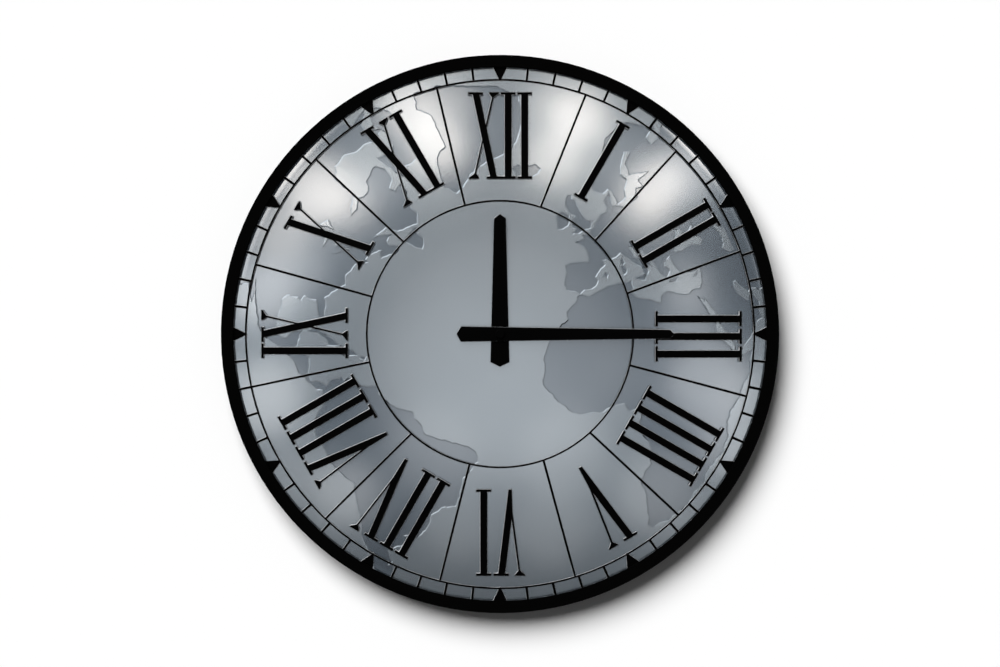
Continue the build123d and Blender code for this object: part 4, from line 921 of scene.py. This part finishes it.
# %% Lamps
WARM = "FFF6ED"
NEUTRAL = "FFFFFF"
WINDOW_DISTANCE = 2.0
BACK_KEY_WAY = Vector((-0.5, 0.8, 0.6))
LOBES = (
    # Eleven to twelve
    (-22, 132, 0.24, 6.4), (-18, 108, 0.24, 8.0), (-12, 130, 0.20, 3.2),
    # Twelve to one
    (12, 130, 0.20, 2.4), (17, 100, 0.24, 5.6), (20, 126, 0.24, 7.4),
    # One to two
    (46, 116, 0.24, 6.0), (47, 130, 0.20, 2.6), (49, 104, 0.22, 4.2),
    # Ten
    (-49, 108, 0.20, 3.6), (-52, 126, 0.28, 7.6), (-66, 132, 0.24, 3.6),
)
POOLS = (
    # Beside the lobes
    (50, 136, 0.26, 3.0), (-40, 108, 0.20, 1.6),
    # Seven to ten
    (-80, 131, 0.28, 4.4), (-72, 112, 0.20, 2.0), (-105, 132, 0.34, 3.1), (-136, 120, 0.30, 2.0),
    # Two to four
    (74, 106, 0.20, 2.0), (84, 104, 0.24, 1.6), (103, 118, 0.36, 2.6), (116, 138, 0.26, 2.4),
    # Four to six
    (135, 122, 0.36, 1.5), (150, 75, 0.40, 0.75), (165, 108, 0.36, 0.8), (160, 50, 0.60, 0.15),
    # Six to seven
    (-150, 75, 0.40, 0.7), (-150, 42, 0.90, 0.18), (-168, 108, 0.30, 0.7),
    # Small ones at half past three and at eight
    (105, 80, 0.40, 0.4), (-124, 137, 0.24, 1.0), (104, 136, 0.22, 1.2),
)
for angle, radius, width, radiance in LOBES:
    pool(angle, radius, width, radiance, WARM)
for angle, radius, width, radiance in POOLS:
    pool(angle, radius, width, radiance, NEUTRAL)
sun("key", towards(clock_angle=-31, off_axis=39), spread=42, energy=4.16)
sun("back_key", BACK_KEY_WAY, spread=30, energy=4.0)
window_place = towards(clock_angle=-42, off_axis=70) * WINDOW_DISTANCE
softbox("window", window_place, ARBOR, width=2.4, radiance=1.2, tint=NEUTRAL)

# %% [markdown]
# ## Light: dark and grey cards
# Dark card is as useful as a lamp. A photographer stands it where a shiny surface would mirror the white
# room, and the metal goes deep there. A wide sheet with a round hole hangs in front of the clock: the middle
# of the dial mirrors the white room through the hole, and the outer dial mirrors the sheet and the softboxes
# before it. Three grey flags stand at the right and below, and darken the rims that face away from the
# window. All show in reflections only, and fade out, so that they leave no outline on the metal.

# %% Cards
SHEET_DISTANCE = 2.7
SHEET_DROP = Vector((0, 0, -0.12))
FLAG_DISTANCE = 2.0
FLAG_TILT = 70
FLAG_ANGLES = (70, 138, 206)


def only_mirrored(piece):
    """Makes a piece show in reflections alone, and keeps it from being sampled as a lamp."""
    piece.active_material.cycles.emission_sampling = "NONE"
    piece.visible_camera = False
    piece.visible_diffuse = False
    piece.visible_shadow = False


def card(name, place, aim, size, clear_at, dark_at, shade):
    """Card that faces a point. It is clear at one distance from its middle and dark at another."""
    bpy.ops.mesh.primitive_plane_add(size=size, location=place, rotation=facing(aim - place))
    piece = bpy.context.object
    piece.name = name
    material, tree = empty_material(name)
    spot = add_node(tree, "ShaderNodeTexCoord", {}).outputs["Object"]
    reach = add_node(tree, "ShaderNodeVectorMath", {0: spot}, operation="LENGTH").outputs["Value"]
    sockets = {"Value": reach, "From Min": clear_at, "From Max": dark_at}
    dark = add_node(tree, "ShaderNodeMapRange", sockets, interpolation_type="SMOOTHSTEP").outputs["Result"]
    clear = add_node(tree, "ShaderNodeBsdfTransparent", {})
    paper = add_node(tree, "ShaderNodeEmission", {"Strength": shade})
    both = add_node(tree, "ShaderNodeMixShader", {0: dark, 1: clear.outputs[0], 2: paper.outputs[0]})
    add_node(tree, "ShaderNodeOutputMaterial", {"Surface": both.outputs[0]})
    piece.data.materials.append(material)
    only_mirrored(piece)


sheet_place = SHEET_DROP + Vector((0, -SHEET_DISTANCE, 0))
card("dark_sheet", sheet_place, SHEET_DROP, size=3.4, clear_at=0.45, dark_at=0.75, shade=0.07)
for angle in FLAG_ANGLES:
    flag_place = towards(angle, FLAG_TILT) * FLAG_DISTANCE
    card(f"flag_{angle}", flag_place, ARBOR, size=3.6, clear_at=1.75, dark_at=1.0, shade=0.5)
print("cards: dark_sheet and", len(FLAG_ANGLES), "flags")

# %% [markdown]
# ## Light: the fence
# Upright walls and steep chamfers mirror what stands level with the clock. A dark band round its right and
# lower side keeps them black there, so that only the edges towards the window light up. It starts as an open
# cylinder, and the faces at the upper left are deleted.

# %% Fence
FENCE_RADIUS = 2.0
FENCE_DEPTH = 1.5
FENCE_SIDES = 120
FENCE_FIRST = 48
FENCE_LAST = 245
FENCE_SHADE = 0.02


def on_fence(face):
    """True for a face of the full ring that lies between the ends of the fence, as clock angles."""
    middle = face.calc_center_median()
    return FENCE_FIRST < degrees(atan2(middle.x, middle.z)) % 360 < FENCE_LAST


def fence():
    """Dark band that stands round the lower right of the clock, level with the wall."""
    size = {"radius": FENCE_RADIUS, "depth": FENCE_DEPTH, "vertices": FENCE_SIDES}
    bpy.ops.mesh.primitive_cylinder_add(**size, end_fill_type="NOTHING", rotation=(pi / 2, 0, 0))
    piece = placed("fence")
    edit(piece)
    pick(piece, "FACE", lambda face: not on_fence(face))
    bpy.ops.mesh.delete(type="FACE")
    close()
    material, tree = empty_material("fence")
    paper = add_node(tree, "ShaderNodeEmission", {"Strength": FENCE_SHADE})
    add_node(tree, "ShaderNodeOutputMaterial", {"Surface": paper.outputs[0]})
    piece.data.materials.append(material)
    only_mirrored(piece)
    print("fence of", len(piece.data.polygons), "faces")


fence()
